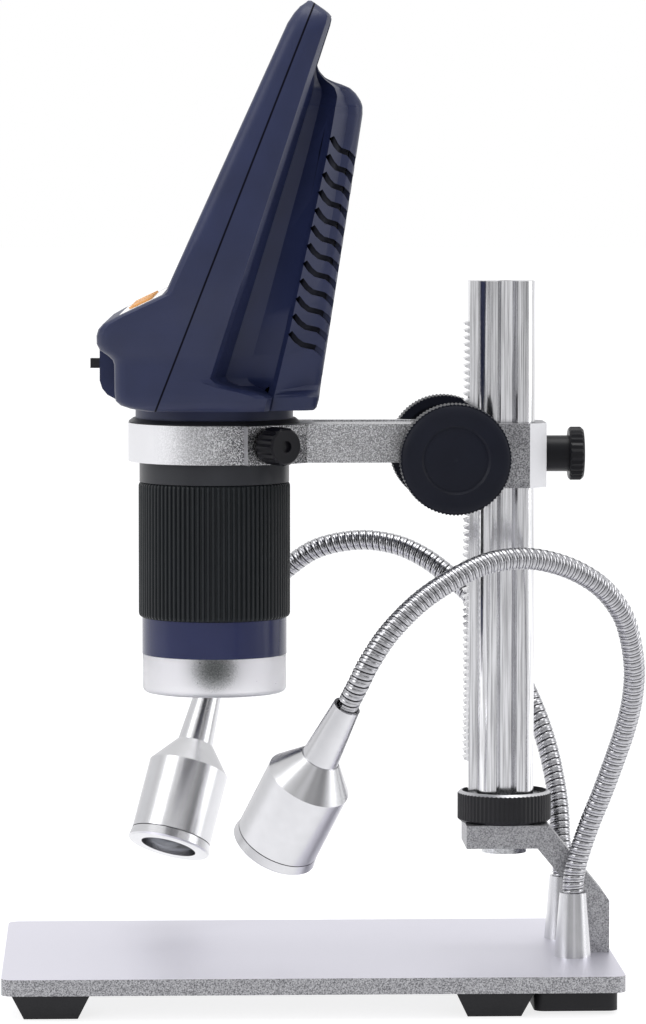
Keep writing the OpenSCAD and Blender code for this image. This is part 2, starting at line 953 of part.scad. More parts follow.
// Back of the flat casing that carries the screen
rear_low_u = -2.2;
rear_lean = 0.325;
function rear_u(v) = rear_low_u + (v - head_low) * rear_lean;
rear_line = [
    [head_low, rear_low_u], [head_high - 6.8, rear_u(head_high - 6.8)],
    [head_high - 4.8, rear_u(head_high - 4.8) - 0.2375], [head_high - 3.4, rear_u(head_high - 3.4) - 1.8925],
    [head_high - 1.8, rear_u(head_high - 1.8) - 4.7125], [head_high, rear_u(head_high) - 7.7975]
];

// Half the casing's width, as a share of its full half
width_line = [
    [head_low, 0.60], [7, 0.635], [10, 0.655], [21, 0.70], [32, 0.79], [40.8, 0.885], [47.5, 0.945],
    [58, 0.975], [84, 1], [head_high - 9.8, 1], [head_high - 6.8, 0.992], [head_high - 3.8, 0.965],
    [head_high - 1.8, 0.93], [head_high - 0.6, 0.895], [head_high, 0.86]
];

// Back of the hump that holds the electronics
hump_line = [
    [head_low, 31.4], [5.9, 32.2], [8.4, 32.9], [95.4, 46.1], [97.7, 46.1], [99.8, 45.3],
    [101.9, 43.9], [103.5, 42.2], [104.5, 40], [105.4, 37.2], [106.6, 34.6], [108.4, 33], [110.4, 31.9]
];
ridge_line = [
    [head_low, 18.2], [8.9, 19], [29, 23.8], [54.5, 29.1], [89, 36.5], [101, 38.2], [103.5, 37.4],
    [104.5, 36.4], [105.4, 35.2], [106.6, 33.9], [108.4, 32.6], [110.4, 31.9]
];
// Half the hump's width at its ridge, and how much narrower it is at its back
ridge_width = [[head_low, 31], [30, 37], [70, 43.5], [98, 45], [103.5, 43], [106.6, 38], [110.4, 30]];
hump_top = 110.3;
// How far the casing's side closes the groove beside the hump, at its lower end
groove_end = [[9.2, 1], [10, 0.93], [11.2, 0.7], [12.6, 0.34], [14, 0.1], [15.4, 0]];
hump_taper = 7;

function quarter(cu, cy, r, from, steps) = [
    for (i = [0 : steps])
        let (a = from - 90 * i / steps)
            [cu + r * cos(a), cy + r * sin(a)]
];

// Half a level's outline from the middle of its front round to the middle of its back.
// gap draws it that far inside the skin, with plainer corners.
function level_half(v, gap) =
    let (
        uf = lookup(v, front_line) + gap,
        closed = gap > 0 ? 0 : lookup(v, groove_end),
        us = lookup(v, rear_line) * (1 - closed) + (lookup(v, ridge_line) - 0.6) * closed - gap,
        w = half_w * lookup(v, width_line) - gap,
        has_hump = v < hump_top,
        ub = has_hump ? max(us + 0.3, lookup(v, hump_line) - gap) : us + 0.3,
        ur = has_hump ? max(us + 0.2, lookup(v, ridge_line) - gap) : us + 0.2,
        wr = (has_hump ? lookup(v, ridge_width) : 30) - gap,
        deep = max(0, min(1, (ur - us) / 8)),
        rf = min(4, (us - uf) * 0.3),
        rs = min(5, (us - uf) * 0.34),
        rb = min(4.5, (ub - ur) * 0.6),
        wb = wr - hump_taper * deep,
        steps = gap > 0 ? 1 : 3
    )
    concat(
        [[uf, 0]],
        quarter(uf + rf, w - rf, rf, 180, steps),
        quarter(us - rs, w - rs, rs, 90, min(2, steps)),
        [
            [us, wr + 2 * deep],
            [us + (ur - us) * 0.16, wr - 3.2 * deep],
            [us + (ur - us) * 0.5, wr - 4.6 * deep],
            [ur - 1.4 * deep, wr - 1.8 * deep],
            [ur, wr]
        ],
        quarter(ub - rb, wb - rb, rb, 90, steps),
        [[ub, 0]]
    );

function level_ring(v, gap) =
    let (half = level_half(v, gap), n = len(half))
        concat(
            [for (p = half) [p[0], p[1], v]],
            [for (i = [n - 2 : -1 : 1]) [half[i][0], -half[i][1], v]]
        );

// A solid through all the levels
module loft(levels, gap) {
    rings = [for (v = levels) level_ring(v, gap)];
    n = len(rings[0]);
    m = len(rings);
    polyhedron(
        points = [for (ring = rings, p = ring) p],
        faces = concat(
            [[for (i = [n - 1 : -1 : 0]) i]],
            [for (k = [0 : m - 2], i = [0 : n - 1])
                let (j = (i + 1) % n)
                    [k * n + i, k * n + j, (k + 1) * n + i]],
            [for (k = [0 : m - 2], i = [0 : n - 1])
                let (j = (i + 1) % n)
                    [k * n + j, (k + 1) * n + j, (k + 1) * n + i]],
            [[for (i = [0 : n - 1]) (m - 1) * n + i]]
        ),
        convexity = 6
    );
}

skin_levels = [
    head_low, 5.9, 7, 8.4, 9.2, 10, 11.2, 12.6, 14, 15.4, 19.6, 21.1, 22.5, 24.1, 26, 28.5, 30.5,
    32.2, 34.4, 37.8, 41.2, 42.2, 47.5, 58, 70, 84, 95.4, 97.7, 99.8, 101.9, 103.5, 104.5,
    105.4, 106.6, 108.4, 110.4, 116, head_high - 9.8, head_high - 6.8, head_high - 4.8,
    head_high - 3.8, head_high - 2.8, head_high - 1.8, head_high - 0.6, head_high
];
cavity_levels = [
    head_low + shell_wall, 12, 20, 27, 32, 41, 43, 50, 70, 92, 99, 102, 104, 108, 115,
    head_high - shell_wall - 1.4
];

module in_head() {
    translate([axis_x - head_ahead, 0, ring_top])
        rotate([0, 0, -head_turn])
            children();
}

// Everything in front of the seam between the two shells
seam_low_u = -17;
seam_lean = atan(0.392);

module seam_side(front) {
    big = 400;
    translate([seam_low_u, 0, head_low])
        rotate([0, seam_lean, 0])
            translate([front ? -big : 0, -big / 2, -big / 2])
                cube([big, big, big]);
}

// Frame on the screen's plane: x across, y up the slope, z outwards
module on_face(along) {
    translate([face_u(face_low_v) + along * sin(face_lean), 0, face_low_v + along * cos(face_lean)])
        rotate([90 - face_lean, 0, -90])
            children();
}

// Frame on the button slope, from its middle
pad_angle = atan2(41.2 - 34.4, -14.2 + 28.5);
module on_pad() {
    translate([-21.35, 0, 37.8])
        rotate([pad_angle, 0, -90])
            children();
}

glass_mid = 47.5;                                  // middle of the screen, up its slope
glass_t = 1.2;
panel_w = glass_w - 4;
panel_h = glass_h - 2;
panel_t = 3.2;
pad_w = glass_w - 24;
pad_h = 14.4;
pad_t = 0.8;
button_pitch = 16;
stud_r = 1.6;
button_proud = 0.7;

module switch_outline(grow = 0) {
    polygon([
        [-26, 24.2 + grow],
        [-34.8 - grow, 24.2 + grow],
        [-34.8 - grow, 13.6],
        [-34 - grow, 11.1 - grow],
        [-32.4 - grow * 0.7, 9.2 - grow * 0.7],
        [-30, 7.9 - grow],
        [-26, 7.4 - grow]
    ]);
}

switch_half = 15;
module switch_prism(grow = 0) {
    translate([0, switch_half + grow, 0])
        rotate([90, 0, 0])
            linear_extrude(2 * (switch_half + grow))
                switch_outline(grow);
}

// Rounded block, centred on x and y, that hangs down from z = 0
module rounded_block(l, h, r, depth) {
    hull()
        for (sx = [-1, 1], sy = [-1, 1])
            translate([sx * (l / 2 - r), sy * (h / 2 - r), -depth])
                cylinder(r = r, h = depth, $fn = 16);
}

// Posts for the screws that hold the two shells together, each with two webs
module screw_posts() {
    for (p = post_spots)
        translate([-50, p[0], p[1]])
            rotate([0, 90, 0]) {
                cylinder(r = post_r, h = 100, $fn = 16);
                for (sy = [-1, 1])
                    hull() {
                        cylinder(r = 0.9, h = 100, $fn = 8);
                        translate([0, sy * post_web, 0])
                            cylinder(r = 0.6, h = 100, $fn = 8);
                    }
            }
}

post_r = 3.2;
post_web = 7;
post_spots = [[-50, 121.4], [50, 121.4], [-20, 15], [20, 15]];
function seam_u(v) = seam_low_u + (v - head_low) * tan(seam_lean);
seat_u = [for (p = post_spots) seam_u(p[1]) + 2.3];    // where each screw's head sits, along X
screw_head_r = 2.1;
screw_r = 1.1;
screw_l = 6;

// Upright rib inside the rear shell, between the two sets of slots
module centre_rib() {
    lean = 8;
    translate([battery_u + battery_t / cos(lean) + 0.8, 0.8, battery_v])
        rotate([90, 0, 0])
            linear_extrude(1.6)
                polygon([
                    [-1.6, -14],
                    [30, -14],
                    [30, 80],
                    [0, 80],
                    [3.4, 62],
                    [battery_h * sin(lean) - 2.6, battery_h + 1],
                    [battery_h * sin(lean), battery_h]
                ]);
}

module front_shell() {
    screen_depth = shell_wall * cos(face_lean);
    color(navy)
    in_head()
        difference() {
            intersection() {
                loft(skin_levels, 0);
                seam_side(true);
            }
            difference() {
                loft(cavity_levels, shell_wall);
                screw_posts();
            }
            on_face(glass_mid)
                translate([0, 0, cut])
                    rounded_block(glass_w + 0.2, glass_h + 0.2, 2.1, glass_t + cut);
            on_face(glass_mid)
                translate([0, 0, cut])
                    rounded_block(glass_w - 8, glass_h - 8, 1.5, screen_depth + 2 + cut);
            on_pad()
                translate([0, 0, 2])
                    rounded_block(pad_w + 0.2, pad_h + 0.2, 2.1, pad_t + 2);
            on_pad()
                for (i = [-2 : 2])
                    translate([i * button_pitch, 0, -10])
                        cylinder(r = stud_r + pass, h = 12, $fn = 16);
            switch_prism(0.02);
            for (i = [0 : 3])
                translate([seat_u[i] - screw_l, post_spots[i][0], post_spots[i][1]])
                    rotate([0, 90, 0])
                        cylinder(r = screw_r + 0.05, h = 40, $fn = 16);
        }
}

// One cooling slot's path: it leaves the ridge, runs level and drops round the corner
function slot_path(u0, v0, u1, v1) = [
    for (i = [0 : slot_steps])
        let (t = i / slot_steps)
            [u0 + (u1 - u0) * t, v0 + (v1 - v0) * (t + 0.13 * sin(360 * t))]
];

module slot_stroke(path) {
    n = len(path);
    up = [for (i = [0 : n - 1])
        let (a = path[max(0, i - 1)], b = path[min(n - 1, i + 1)], d = (b - a) / norm(b - a))
            path[i] + slot_w / 2 * [-d[1], d[0]]];
    down = [for (i = [n - 1 : -1 : 0])
        let (a = path[max(0, i - 1)], b = path[min(n - 1, i + 1)], d = (b - a) / norm(b - a))
            path[i] - slot_w / 2 * [-d[1], d[0]]];
    polygon(concat(up, down));
}

slot_pitch = 5.4;
slot_top = 88.6;
slot_drop = 8.7;
slot_steps = 6;

module cooling_slots() {
    for (k = [0 : slot_count - 1])
        let (v = slot_top - k * slot_pitch)
            slot_stroke(slot_path(
                lookup(v, ridge_line) + 0.2, v,
                lookup(v - slot_drop, hump_line) + 0.6, v - slot_drop
            ));
}

module rear_shell() {
    color(navy)
    in_head()
        difference() {
            intersection() {
                loft(skin_levels, 0);
                seam_side(false);
            }
            difference() {
                loft(cavity_levels, shell_wall);
                screw_posts();
                centre_rib();
            }
            for (sy = [-1, 1])
                translate([0, sy * 44 + 18, 0])
                    rotate([90, 0, 0])
                        linear_extrude(36)
                            cooling_slots();
            translate([0, 0, head_low - cut])
                cylinder(r = tube_bore_r, h = 12, $fn = 48);
            for (a = barrel_screw_turns)
                rotate([0, 0, a])
                    translate([barrel_screw_r, 0, head_low - cut])
                        cylinder(r = screw_r + 0.1, h = 12, $fn = 16);
            for (i = [0 : 3])
                translate([seat_u[i], post_spots[i][0], post_spots[i][1]])
                    rotate([0, 90, 0]) {
                        cylinder(r = screw_head_r + 0.1, h = 60, $fn = 16);
                        translate([0, 0, -14])
                            cylinder(r = screw_r + 0.1, h = 15, $fn = 16);
                    }
            translate([usb_u - 0.1, 0, usb_v - 0.1])
                cube([usb_t + 0.2, half_w + 1, usb_l + 0.2]);
        }
}

usb_u = 9.2;
usb_v = 58;
usb_t = 3.4;
usb_l = 9.2;
barrel_screw_r = 20.6;
barrel_screw_turns = [0, 120, 240];

module small_screw(l) {
    cylinder(r = screw_head_r, h = 1.4);
    translate([0, 0, -l])
        cylinder(r = screw_r, h = l + 0.1);
}

// Screws that hold the shells together, and the head on its barrel
module shell_screws() {
    color(steel)
    in_head()
        union() {
            for (i = [0 : 3])
                translate([seat_u[i], post_spots[i][0], post_spots[i][1]])
                    rotate([0, 90, 0])
                        small_screw(screw_l);
            for (a = barrel_screw_turns)
                rotate([0, 0, a])
                    translate([barrel_screw_r, 0, head_low + shell_wall])
                        small_screw(screw_l);
        }
}

module screen_glass() {
    color([0.03, 0.03, 0.04])
    in_head()
        on_face(glass_mid)
            rounded_block(glass_w, glass_h, 2, glass_t);
}

module lcd_panel() {
    color([0.25, 0.27, 0.3])
    in_head()
        on_face(glass_mid)
            translate([-panel_w / 2, -panel_h / 2, -shell_wall * cos(face_lean) - panel_t - 0.08])
                cube([panel_w, panel_h, panel_t]);
}

module main_board() {
    board_w = panel_w - 20;
    board_h = panel_h - 8;
    color(board_green)
    in_head()
        on_face(glass_mid - 2)
            union() {
                translate([-board_w / 2, 1 - panel_h / 2, -8.6])
                    cube([board_w, board_h, 1.6]);
                translate([-10, -20, -10.4])
                    cube([18, 18, 2]);
                translate([16, -8, -10])
                    cube([11, 11, 1.6]);
            }
}

battery_u = 18.5;
battery_v = 24;
battery_t = 7;
battery_w = 46;
battery_h = 42;

module battery() {
    color([0.75, 0.76, 0.78])
    in_head()
        translate([battery_u, -battery_w / 2, battery_v])
            rotate([0, 8, 0])
                cube([battery_t, battery_w, battery_h]);
}

module keypad_plate() {
    color([0.85, 0.55, 0.25])
    in_head()
        on_pad()
            difference() {
                rounded_block(pad_w, pad_h, 2, pad_t);
                for (i = [-2 : 2])
                    translate([i * button_pitch, 0, -pad_t - cut])
                        cylinder(r = button_d / 2 + pass, h = pad_t + 2 * cut);
            }
}

module button_at(i) {
    travel = 0.6;
    color("white")
    in_head()
        on_pad()
            translate([i * button_pitch, 0, 0])
                union() {
                    translate([0, 0, travel - pad_t + 0.05])
                        cylinder(r = button_d / 2, h = button_proud + pad_t - travel - 0.05);
                    translate([0, 0, -4.5])
                        cylinder(r = stud_r, h = 4.6);
                }
}

module button_power() {
    button_at(-2);
}

module button_menu() {
    button_at(-1);
}

module button_up() {
    button_at(0);
}

module button_down() {
    button_at(1);
}

module button_ok() {
    button_at(2);
}

nub_w = 4;
nub_travel = 4;
nub_v = 18.5;
nub_h = 3;

module switch_housing() {
    color(navy)
    in_head()
        difference() {
            switch_prism();
            translate([-36, -nub_travel / 2 - nub_w / 2 - pass, nub_v - nub_h / 2 - pass])
                cube([6, nub_w + nub_travel + 2 * pass, nub_h + 2 * pass]);
        }
}

module power_switch() {
    color(black)
    in_head()
        translate([-38.1, -nub_travel / 2 - nub_w / 2, nub_v - nub_h / 2])
            cube([7.6, nub_w, nub_h]);
}

module usb_socket() {
    deep = 8.4;
    rim = 0.5;
    color(steel)
    in_head()
        translate([usb_u, half_w * lookup(usb_v, width_line) - deep - 0.6, usb_v])
            difference() {
                cube([usb_t, deep, usb_l]);
                translate([rim, 1, rim])
                    cube([usb_t - 2 * rim, deep, usb_l - 2 * rim]);
            }
}

// ---------------------------------------------------------------- lamps

// Routes of the goosenecks, measured from the tips of their boots
front_route = [
    [0, 0, 0], [0.4, 0, 6], [2.1, -0.4, 13], [5.2, -1.4, 22.4], [8.6, -3, 31.4], [12, -5.6, 41.6],
    [14.9, -8.6, 51.4], [16.8, -12, 61], [17.1, -16, 71.4], [15.2, -20.6, 82], [12, -25, 90],
    [5.4, -29.6, 98], [-4.4, -34, 104], [-16.4, -39.5, 107.4], [-28.4, -44.5, 107], [-39, -49, 103.2],
    [-50.6, -53, 96.2],
    [-60.2, -55.6, 87], [-66.4, -56.4, 78], [-70, -55, 70.6], [-73, -52, 64.2]
];
rear_route = [
    [0, 0, 0], [0, 0.3, 6], [-0.6, 1.9, 12], [-0.8, 4.4, 20], [-1.8, 8, 29], [-3.9, 12, 39.6],
    [-7.4, 16.4, 50.6], [-12.4, 23, 62], [-19, 30, 75], [-26.4, 36, 86], [-34.4, 40.6, 93],
    [-42, 44.4, 98.4], [-51, 48, 102.2], [-62.6, 51.6, 103.4], [-75.8, 55, 100.6], [-86, 57, 93.8],
    [-95.4, 58, 85], [-103, 57.4, 75], [-108, 55, 65], [-111.4, 52, 55.4]
];
front_aim = [-0.38, 0.43, -0.82];
rear_aim = [-0.25, -0.36, -0.9];

function unit(v) = v / norm(v);

// Points on a smooth curve through the route
function spline_point(p, k, t) =
    let (
        n = len(p),
        a = p[max(0, k - 1)], b = p[k], c = p[min(n - 1, k + 1)], d = p[min(n - 1, k + 2)]
    )
    0.5 * (2 * b + (c - a) * t + (2 * a - 5 * b + 4 * c - d) * t * t + (3 * b - a - 3 * c + d) * t * t * t);

function smooth_route(p, steps) = concat(
    [for (k = [0 : len(p) - 2], i = [0 : steps - 1]) spline_point(p, k, i / steps)],
    [p[len(p) - 1]]
);

// Ring of points round a place on the route
function hose_ring(at, along, r, sides) =
    let (
        side = unit(cross(along, [0.13, 0.97, 0.21])),
        up = cross(side, along)
    )
    [for (i = [0 : sides - 1])
        let (a = 360 * i / sides)
            at + r * (cos(a) * side + sin(a) * up)];

module hose(route, r, sides) {
    path = smooth_route(route, 2);
    m = len(path);
    rings = [for (k = [0 : m - 1])
        hose_ring(path[k], unit(path[min(m - 1, k + 1)] - path[max(0, k - 1)]), r, sides)];
    polyhedron(
        points = [for (ring = rings, p = ring) p],
        faces = concat(
            [[for (i = [sides - 1 : -1 : 0]) i]],
            [for (k = [0 : m - 2], i = [0 : sides - 1])
                let (j = (i + 1) % sides)
                    [k * sides + i, k * sides + j, (k + 1) * sides + j, (k + 1) * sides + i]],
            [[for (i = [0 : sides - 1]) (m - 1) * sides + i]]
        ),
        convexity = 6
    );
}

// Everything that hangs on a boot is drawn from the boot's tip
module from_boot(boot) {
    translate([boot[0], boot[1], base_top + cone_l])
        children();
}

// Frame at the end of a route, with +Z along the way that the lamp points
module lamp_frame(boot, route, aim) {
    turn = atan2(aim[1], aim[0]);
    tilt = acos(aim[2] / norm(aim));
    from_boot(boot)
        translate(route[len(route) - 1])
            rotate([0, tilt, turn])
                children();
}

module gooseneck(boot, route, aim) {
    grip = boot_grip - 0.2;
    color(steel)
    from_boot(boot)
        hose(concat(
            [[0, 0, -grip]],
            route,
            [route[len(route) - 1] + grip * unit(aim)]
        ), hose_d / 2, 12);
}

neck_thread = 4;
lamp_r = lamp_d / 2;
lamp_wall = 1.6;
lamp_flare = 0.5;

module neck_solid() {
    color(steel)
    difference() {
        union() {
            cylinder(r1 = cone_tip_d / 2, r2 = cone_d / 2, h = cone_l);
            translate([0, 0, cone_l - 0.1])
                cylinder(r = neck_thread, h = 3.1);
        }
        translate([0, 0, -cut])
            cylinder(r = boot_bore_r, h = boot_grip + cut);
        translate([0, 0, 2])
            cylinder(r = 1.6, h = cone_l + 4);
    }
}

module housing_solid() {
    end = lamp_taper_l + lamp_body_l;
    color(alu)
    translate([0, 0, cone_l])
        difference() {
            union() {
                cylinder(r1 = cone_d / 2 + 0.3, r2 = lamp_r, h = lamp_taper_l);
                translate([0, 0, lamp_taper_l])
                    cylinder(r = lamp_r, h = lamp_body_l);
            }
            translate([0, 0, -cut])
                cylinder(r = neck_thread + 0.02, h = end + 2 * cut);
            translate([0, 0, lamp_taper_l + 3])
                cylinder(r = lamp_r - lamp_wall - 1, h = lamp_body_l + cut);
        }
}

module bezel_solid() {
    start = cone_l + lamp_taper_l + lamp_body_l;
    color(alu)
    translate([0, 0, start])
        difference() {
            union() {
                translate([0, 0, 0.3])
                    cylinder(r1 = lamp_r, r2 = lamp_r + lamp_flare, h = lamp_bezel_l - 0.8);
                translate([0, 0, lamp_bezel_l - 0.5])
                    cylinder(r1 = lamp_r + lamp_flare, r2 = lamp_r, h = 0.5);
                translate([0, 0, -2.4])
                    cylinder(r = lamp_r - lamp_wall - 1.02, h = 3);
            }
            translate([0, 0, -2.4 - cut])
                cylinder(r = lamp_r - lamp_wall - 2.4, h = lamp_bezel_l + 6);
        }
}

module lens_solid() {
    start = cone_l + lamp_taper_l + lamp_body_l - 1.6;
    r = lamp_r - lamp_wall - 2.42;
    color(clear)
    translate([0, 0, start])
        rotate_extrude()
            polygon(concat(
                [[0, -1.2], [r, -1.2], [r, 0.3]],
                [for (a = [75 : -15 : 0]) [(r - 0.6) * sin(a), 0.3 + 1.6 * cos(a)]]
            ));
}

module led_solid() {
    start = cone_l + lamp_taper_l + 3;
    color("white")
    translate([0, 0, start])
        union() {
            cylinder(r = lamp_r - lamp_wall - 1.02, h = 1.6);
            translate([-3.5, -3.5, 1.5])
                cube([7, 7, 1.4]);
        }
}

module front_gooseneck() {
    gooseneck(boot_front, front_route, front_aim);
}

module front_neck() {
    lamp_frame(boot_front, front_route, front_aim)
        neck_solid();
}

module front_housing() {
    lamp_frame(boot_front, front_route, front_aim)
        housing_solid();
}

module front_bezel() {
    lamp_frame(boot_front, front_route, front_aim)
        bezel_solid();
}

module front_lens() {
    lamp_frame(boot_front, front_route, front_aim)
        lens_solid();
}

module front_led() {
    lamp_frame(boot_front, front_route, front_aim)
        led_solid();
}

module rear_gooseneck() {
    gooseneck(boot_rear, rear_route, rear_aim);
}

module rear_neck() {
    lamp_frame(boot_rear, rear_route, rear_aim)
        neck_solid();
}

module rear_housing() {
    lamp_frame(boot_rear, rear_route, rear_aim)
        housing_solid();
}

module rear_bezel() {
    lamp_frame(boot_rear, rear_route, rear_aim)
        bezel_solid();
}

module rear_lens() {
    lamp_frame(boot_rear, rear_route, rear_aim)
        lens_solid();
}

module rear_led() {
    lamp_frame(boot_rear, rear_route, rear_aim)
        led_solid();
}

base_plate();
feet();
stand_bracket();
bracket_screws();
wire_box();
lamp_board();
boot_nuts();
front_boot();
rear_boot();
column();
rack();
column_foot();
lock_nut();
carriage_block();
holder_arm();
arm_screws();
carriage_screw();
ring_screw();
pinion_shaft();
front_knob();
rear_knob();
front_shell();
rear_shell();
shell_screws();
screen_glass();
lcd_panel();
main_board();
battery();
keypad_plate();
switch_housing();
usb_socket();
button_power();
button_menu();
button_up();
button_down();
button_ok();
power_switch();
head_collar();
head_flange();
barrel_tube();
sensor_board();
focus_ring();
lens_cell();
objective_lens();
led_housing();
led_board();
lens_window();
shade();
front_gooseneck();
front_neck();
front_housing();
front_bezel();
front_lens();
front_led();
rear_gooseneck();
rear_neck();
rear_housing();
rear_bezel();
rear_lens();
rear_led();
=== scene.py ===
"""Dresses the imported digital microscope: materials, gooseneck tubes, studio and camera."""

import math

import bpy
from mathutils import Matrix, Vector


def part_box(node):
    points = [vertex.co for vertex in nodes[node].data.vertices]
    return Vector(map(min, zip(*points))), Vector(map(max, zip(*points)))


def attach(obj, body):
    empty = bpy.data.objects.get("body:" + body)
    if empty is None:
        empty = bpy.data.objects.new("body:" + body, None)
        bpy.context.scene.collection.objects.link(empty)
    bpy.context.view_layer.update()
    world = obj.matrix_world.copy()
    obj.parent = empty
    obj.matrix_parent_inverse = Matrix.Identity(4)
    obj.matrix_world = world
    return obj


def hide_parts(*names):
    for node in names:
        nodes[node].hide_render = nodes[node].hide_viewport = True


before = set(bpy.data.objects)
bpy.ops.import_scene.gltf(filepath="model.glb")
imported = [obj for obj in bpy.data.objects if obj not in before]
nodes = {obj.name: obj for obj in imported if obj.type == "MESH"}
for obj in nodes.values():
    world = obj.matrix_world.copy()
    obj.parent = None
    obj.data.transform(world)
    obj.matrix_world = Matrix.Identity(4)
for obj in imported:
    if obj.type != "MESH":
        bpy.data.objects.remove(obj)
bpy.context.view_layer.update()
scene = bpy.context.scene
MM = 0.001


# ---------------------------------------------------------------- shading helpers


def math_node(tree, operation, a, b=None):
    """A Math node fed with sockets or plain numbers."""
    node = tree.nodes.new("ShaderNodeMath")
    node.operation = operation
    for socket, value in zip(node.inputs, (a, b)):
        if isinstance(value, (int, float)):
            socket.default_value = value
        elif value is not None:
            tree.links.new(value, socket)
    return node.outputs[0]


def fill_ramp(node, stops):
    """Gives a colour ramp its stops, from low to high."""
    while len(node.color_ramp.elements) < len(stops):
        node.color_ramp.elements.new(0.5)
    for element, (at, color) in zip(node.color_ramp.elements, stops):
        element.position = at
        element.color = (*color, 1)


def color_sockets(sockets):
    """The colour sockets of a Mix node, which has one of each name for every data type."""
    return [socket for socket in sockets if socket.type == "RGBA"]


class Shader:
    """A material whose nodes are added one by one, in the object's own coordinates."""

    def __init__(self, name, color, metallic=0.0, rough=0.4):
        self.mat = bpy.data.materials.new(name)
        self.mat.use_nodes = True
        self.tree = self.mat.node_tree
        self.bsdf = self.tree.nodes["Principled BSDF"]
        self.place = self.add("ShaderNodeTexCoord").outputs["Object"]
        self.set("Base Color", (*color, 1))
        self.set("Metallic", metallic)
        self.set("Roughness", rough)

    def add(self, kind, **values):
        node = self.tree.nodes.new(kind)
        for key, value in values.items():
            setattr(node, key, value)
        return node

    def link(self, a, b):
        self.tree.links.new(a, b)

    def set(self, name, value):
        self.bsdf.inputs[name].default_value = value

    def math(self, operation, a, b=None):
        return math_node(self.tree, operation, a, b)

    def scaled(self, scale):
        node = self.add("ShaderNodeMapping")
        node.inputs["Scale"].default_value = scale
        self.link(self.place, node.inputs["Vector"])
        return node.outputs["Vector"]

    def noise(self, scale, detail=2.0, rough=0.5, stretch=None, seed=0.0):
        node = self.add("ShaderNodeTexNoise", noise_dimensions="4D")
        node.inputs["W"].default_value = seed
        node.inputs["Scale"].default_value = scale
        node.inputs["Detail"].default_value = detail
        node.inputs["Roughness"].default_value = rough
        self.link(self.scaled(stretch) if stretch else self.place, node.inputs["Vector"])
        return node.outputs["Fac"]

    def along(self, origin, axis):
        """How far a point lies from an origin, along an axis."""
        away = self.add("ShaderNodeVectorMath", operation="SUBTRACT")
        self.link(self.place, away.inputs[0])
        away.inputs[1].default_value = origin
        dot = self.add("ShaderNodeVectorMath", operation="DOT_PRODUCT")
        self.link(away.outputs["Vector"], dot.inputs[0])
        dot.inputs[1].default_value = axis
        return dot.outputs["Value"]

    def lines(self, origin, axis, scale):
        """Noise that changes only along an axis, as fine turning marks do."""
        node = self.add("ShaderNodeTexNoise", noise_dimensions="1D")
        self.link(self.along(origin, axis), node.inputs["W"])
        node.inputs["Scale"].default_value = scale
        node.inputs["Detail"].default_value = 3.0
        return node.outputs["Fac"]

    def ramp(self, fac, stops):
        node = self.add("ShaderNodeValToRGB")
        fill_ramp(node, stops)
        self.link(fac, node.inputs["Fac"])
        return node.outputs["Color"]

    def span(self, fac, low, high, start=0.3, end=0.7):
        node = self.add("ShaderNodeMapRange")
        node.inputs["From Min"].default_value = start
        node.inputs["From Max"].default_value = end
        node.inputs["To Min"].default_value = low
        node.inputs["To Max"].default_value = high
        self.link(fac, node.inputs["Value"])
        return node.outputs["Result"]

    def mix(self, fac, a, b):
        node = self.add("ShaderNodeMix", data_type="RGBA")
        self.link(fac, node.inputs["Factor"])
        for target, value in zip(color_sockets(node.inputs), (a, b)):
            if isinstance(value, tuple):
                target.default_value = (*value, 1)
            else:
                self.link(value, target)
        return color_sockets(node.outputs)[0]

    def color(self, socket):
        self.link(socket, self.bsdf.inputs["Base Color"])

    def tone(self):
        """The socket that feeds the base colour so far."""
        return self.bsdf.inputs["Base Color"].links[0].from_socket

    def rough(self, socket):
        self.link(socket, self.bsdf.inputs["Roughness"])

    def bump(self, height, strength, distance):
        node = self.add("ShaderNodeBump")
        node.inputs["Strength"].default_value = strength
        node.inputs["Distance"].default_value = distance
        self.link(height, node.inputs["Height"])
        last = self.bsdf.inputs["Normal"]
        if last.is_linked:
            self.link(last.links[0].from_socket, node.inputs["Normal"])
        self.link(node.outputs["Normal"], last)

    def normal_part(self, axis):
        """How far the surface faces along one axis, from -1 to 1."""
        geometry = self.add("ShaderNodeNewGeometry")
        parts = self.add("ShaderNodeSeparateXYZ")
        turn = self.add(
            "ShaderNodeVectorTransform", vector_type="NORMAL", convert_from="WORLD", convert_to="OBJECT"
        )
        self.link(geometry.outputs["True Normal"], turn.inputs["Vector"])
        self.link(turn.outputs["Vector"], parts.inputs["Vector"])
        return parts.outputs[axis]

    def local(self, axis):
        parts = self.add("ShaderNodeSeparateXYZ")
        self.link(self.place, parts.inputs["Vector"])
        return parts.outputs[axis]


def dress(material, *names):
    """Gives CAD nodes their only material."""
    for name in names:
        data = nodes[name].data
        data.materials.clear()
        data.materials.append(material.mat)


# ---------------------------------------------------------------- materials


DARK = 0.2  # below this sum of its colours, a plastic has less gloss


def blasted(name, dark, light, rough=0.5, low=0.36, high=0.64):
    """Bead-blasted aluminium: a fine grain of light and dark pits."""
    s = Shader(name, light, 1.0, rough)
    grain = s.noise(2300, 3, 0.7)
    blotch = s.noise(160, 2, 0.5, seed=3)
    tone = s.ramp(grain, [(low, dark), (high, light)])
    s.color(s.mix(s.span(blotch, 0.0, 0.22), tone, dark))
    s.rough(s.span(grain, rough - 0.08, rough + 0.1))
    s.bump(grain, 0.35, 0.00012)
    return s


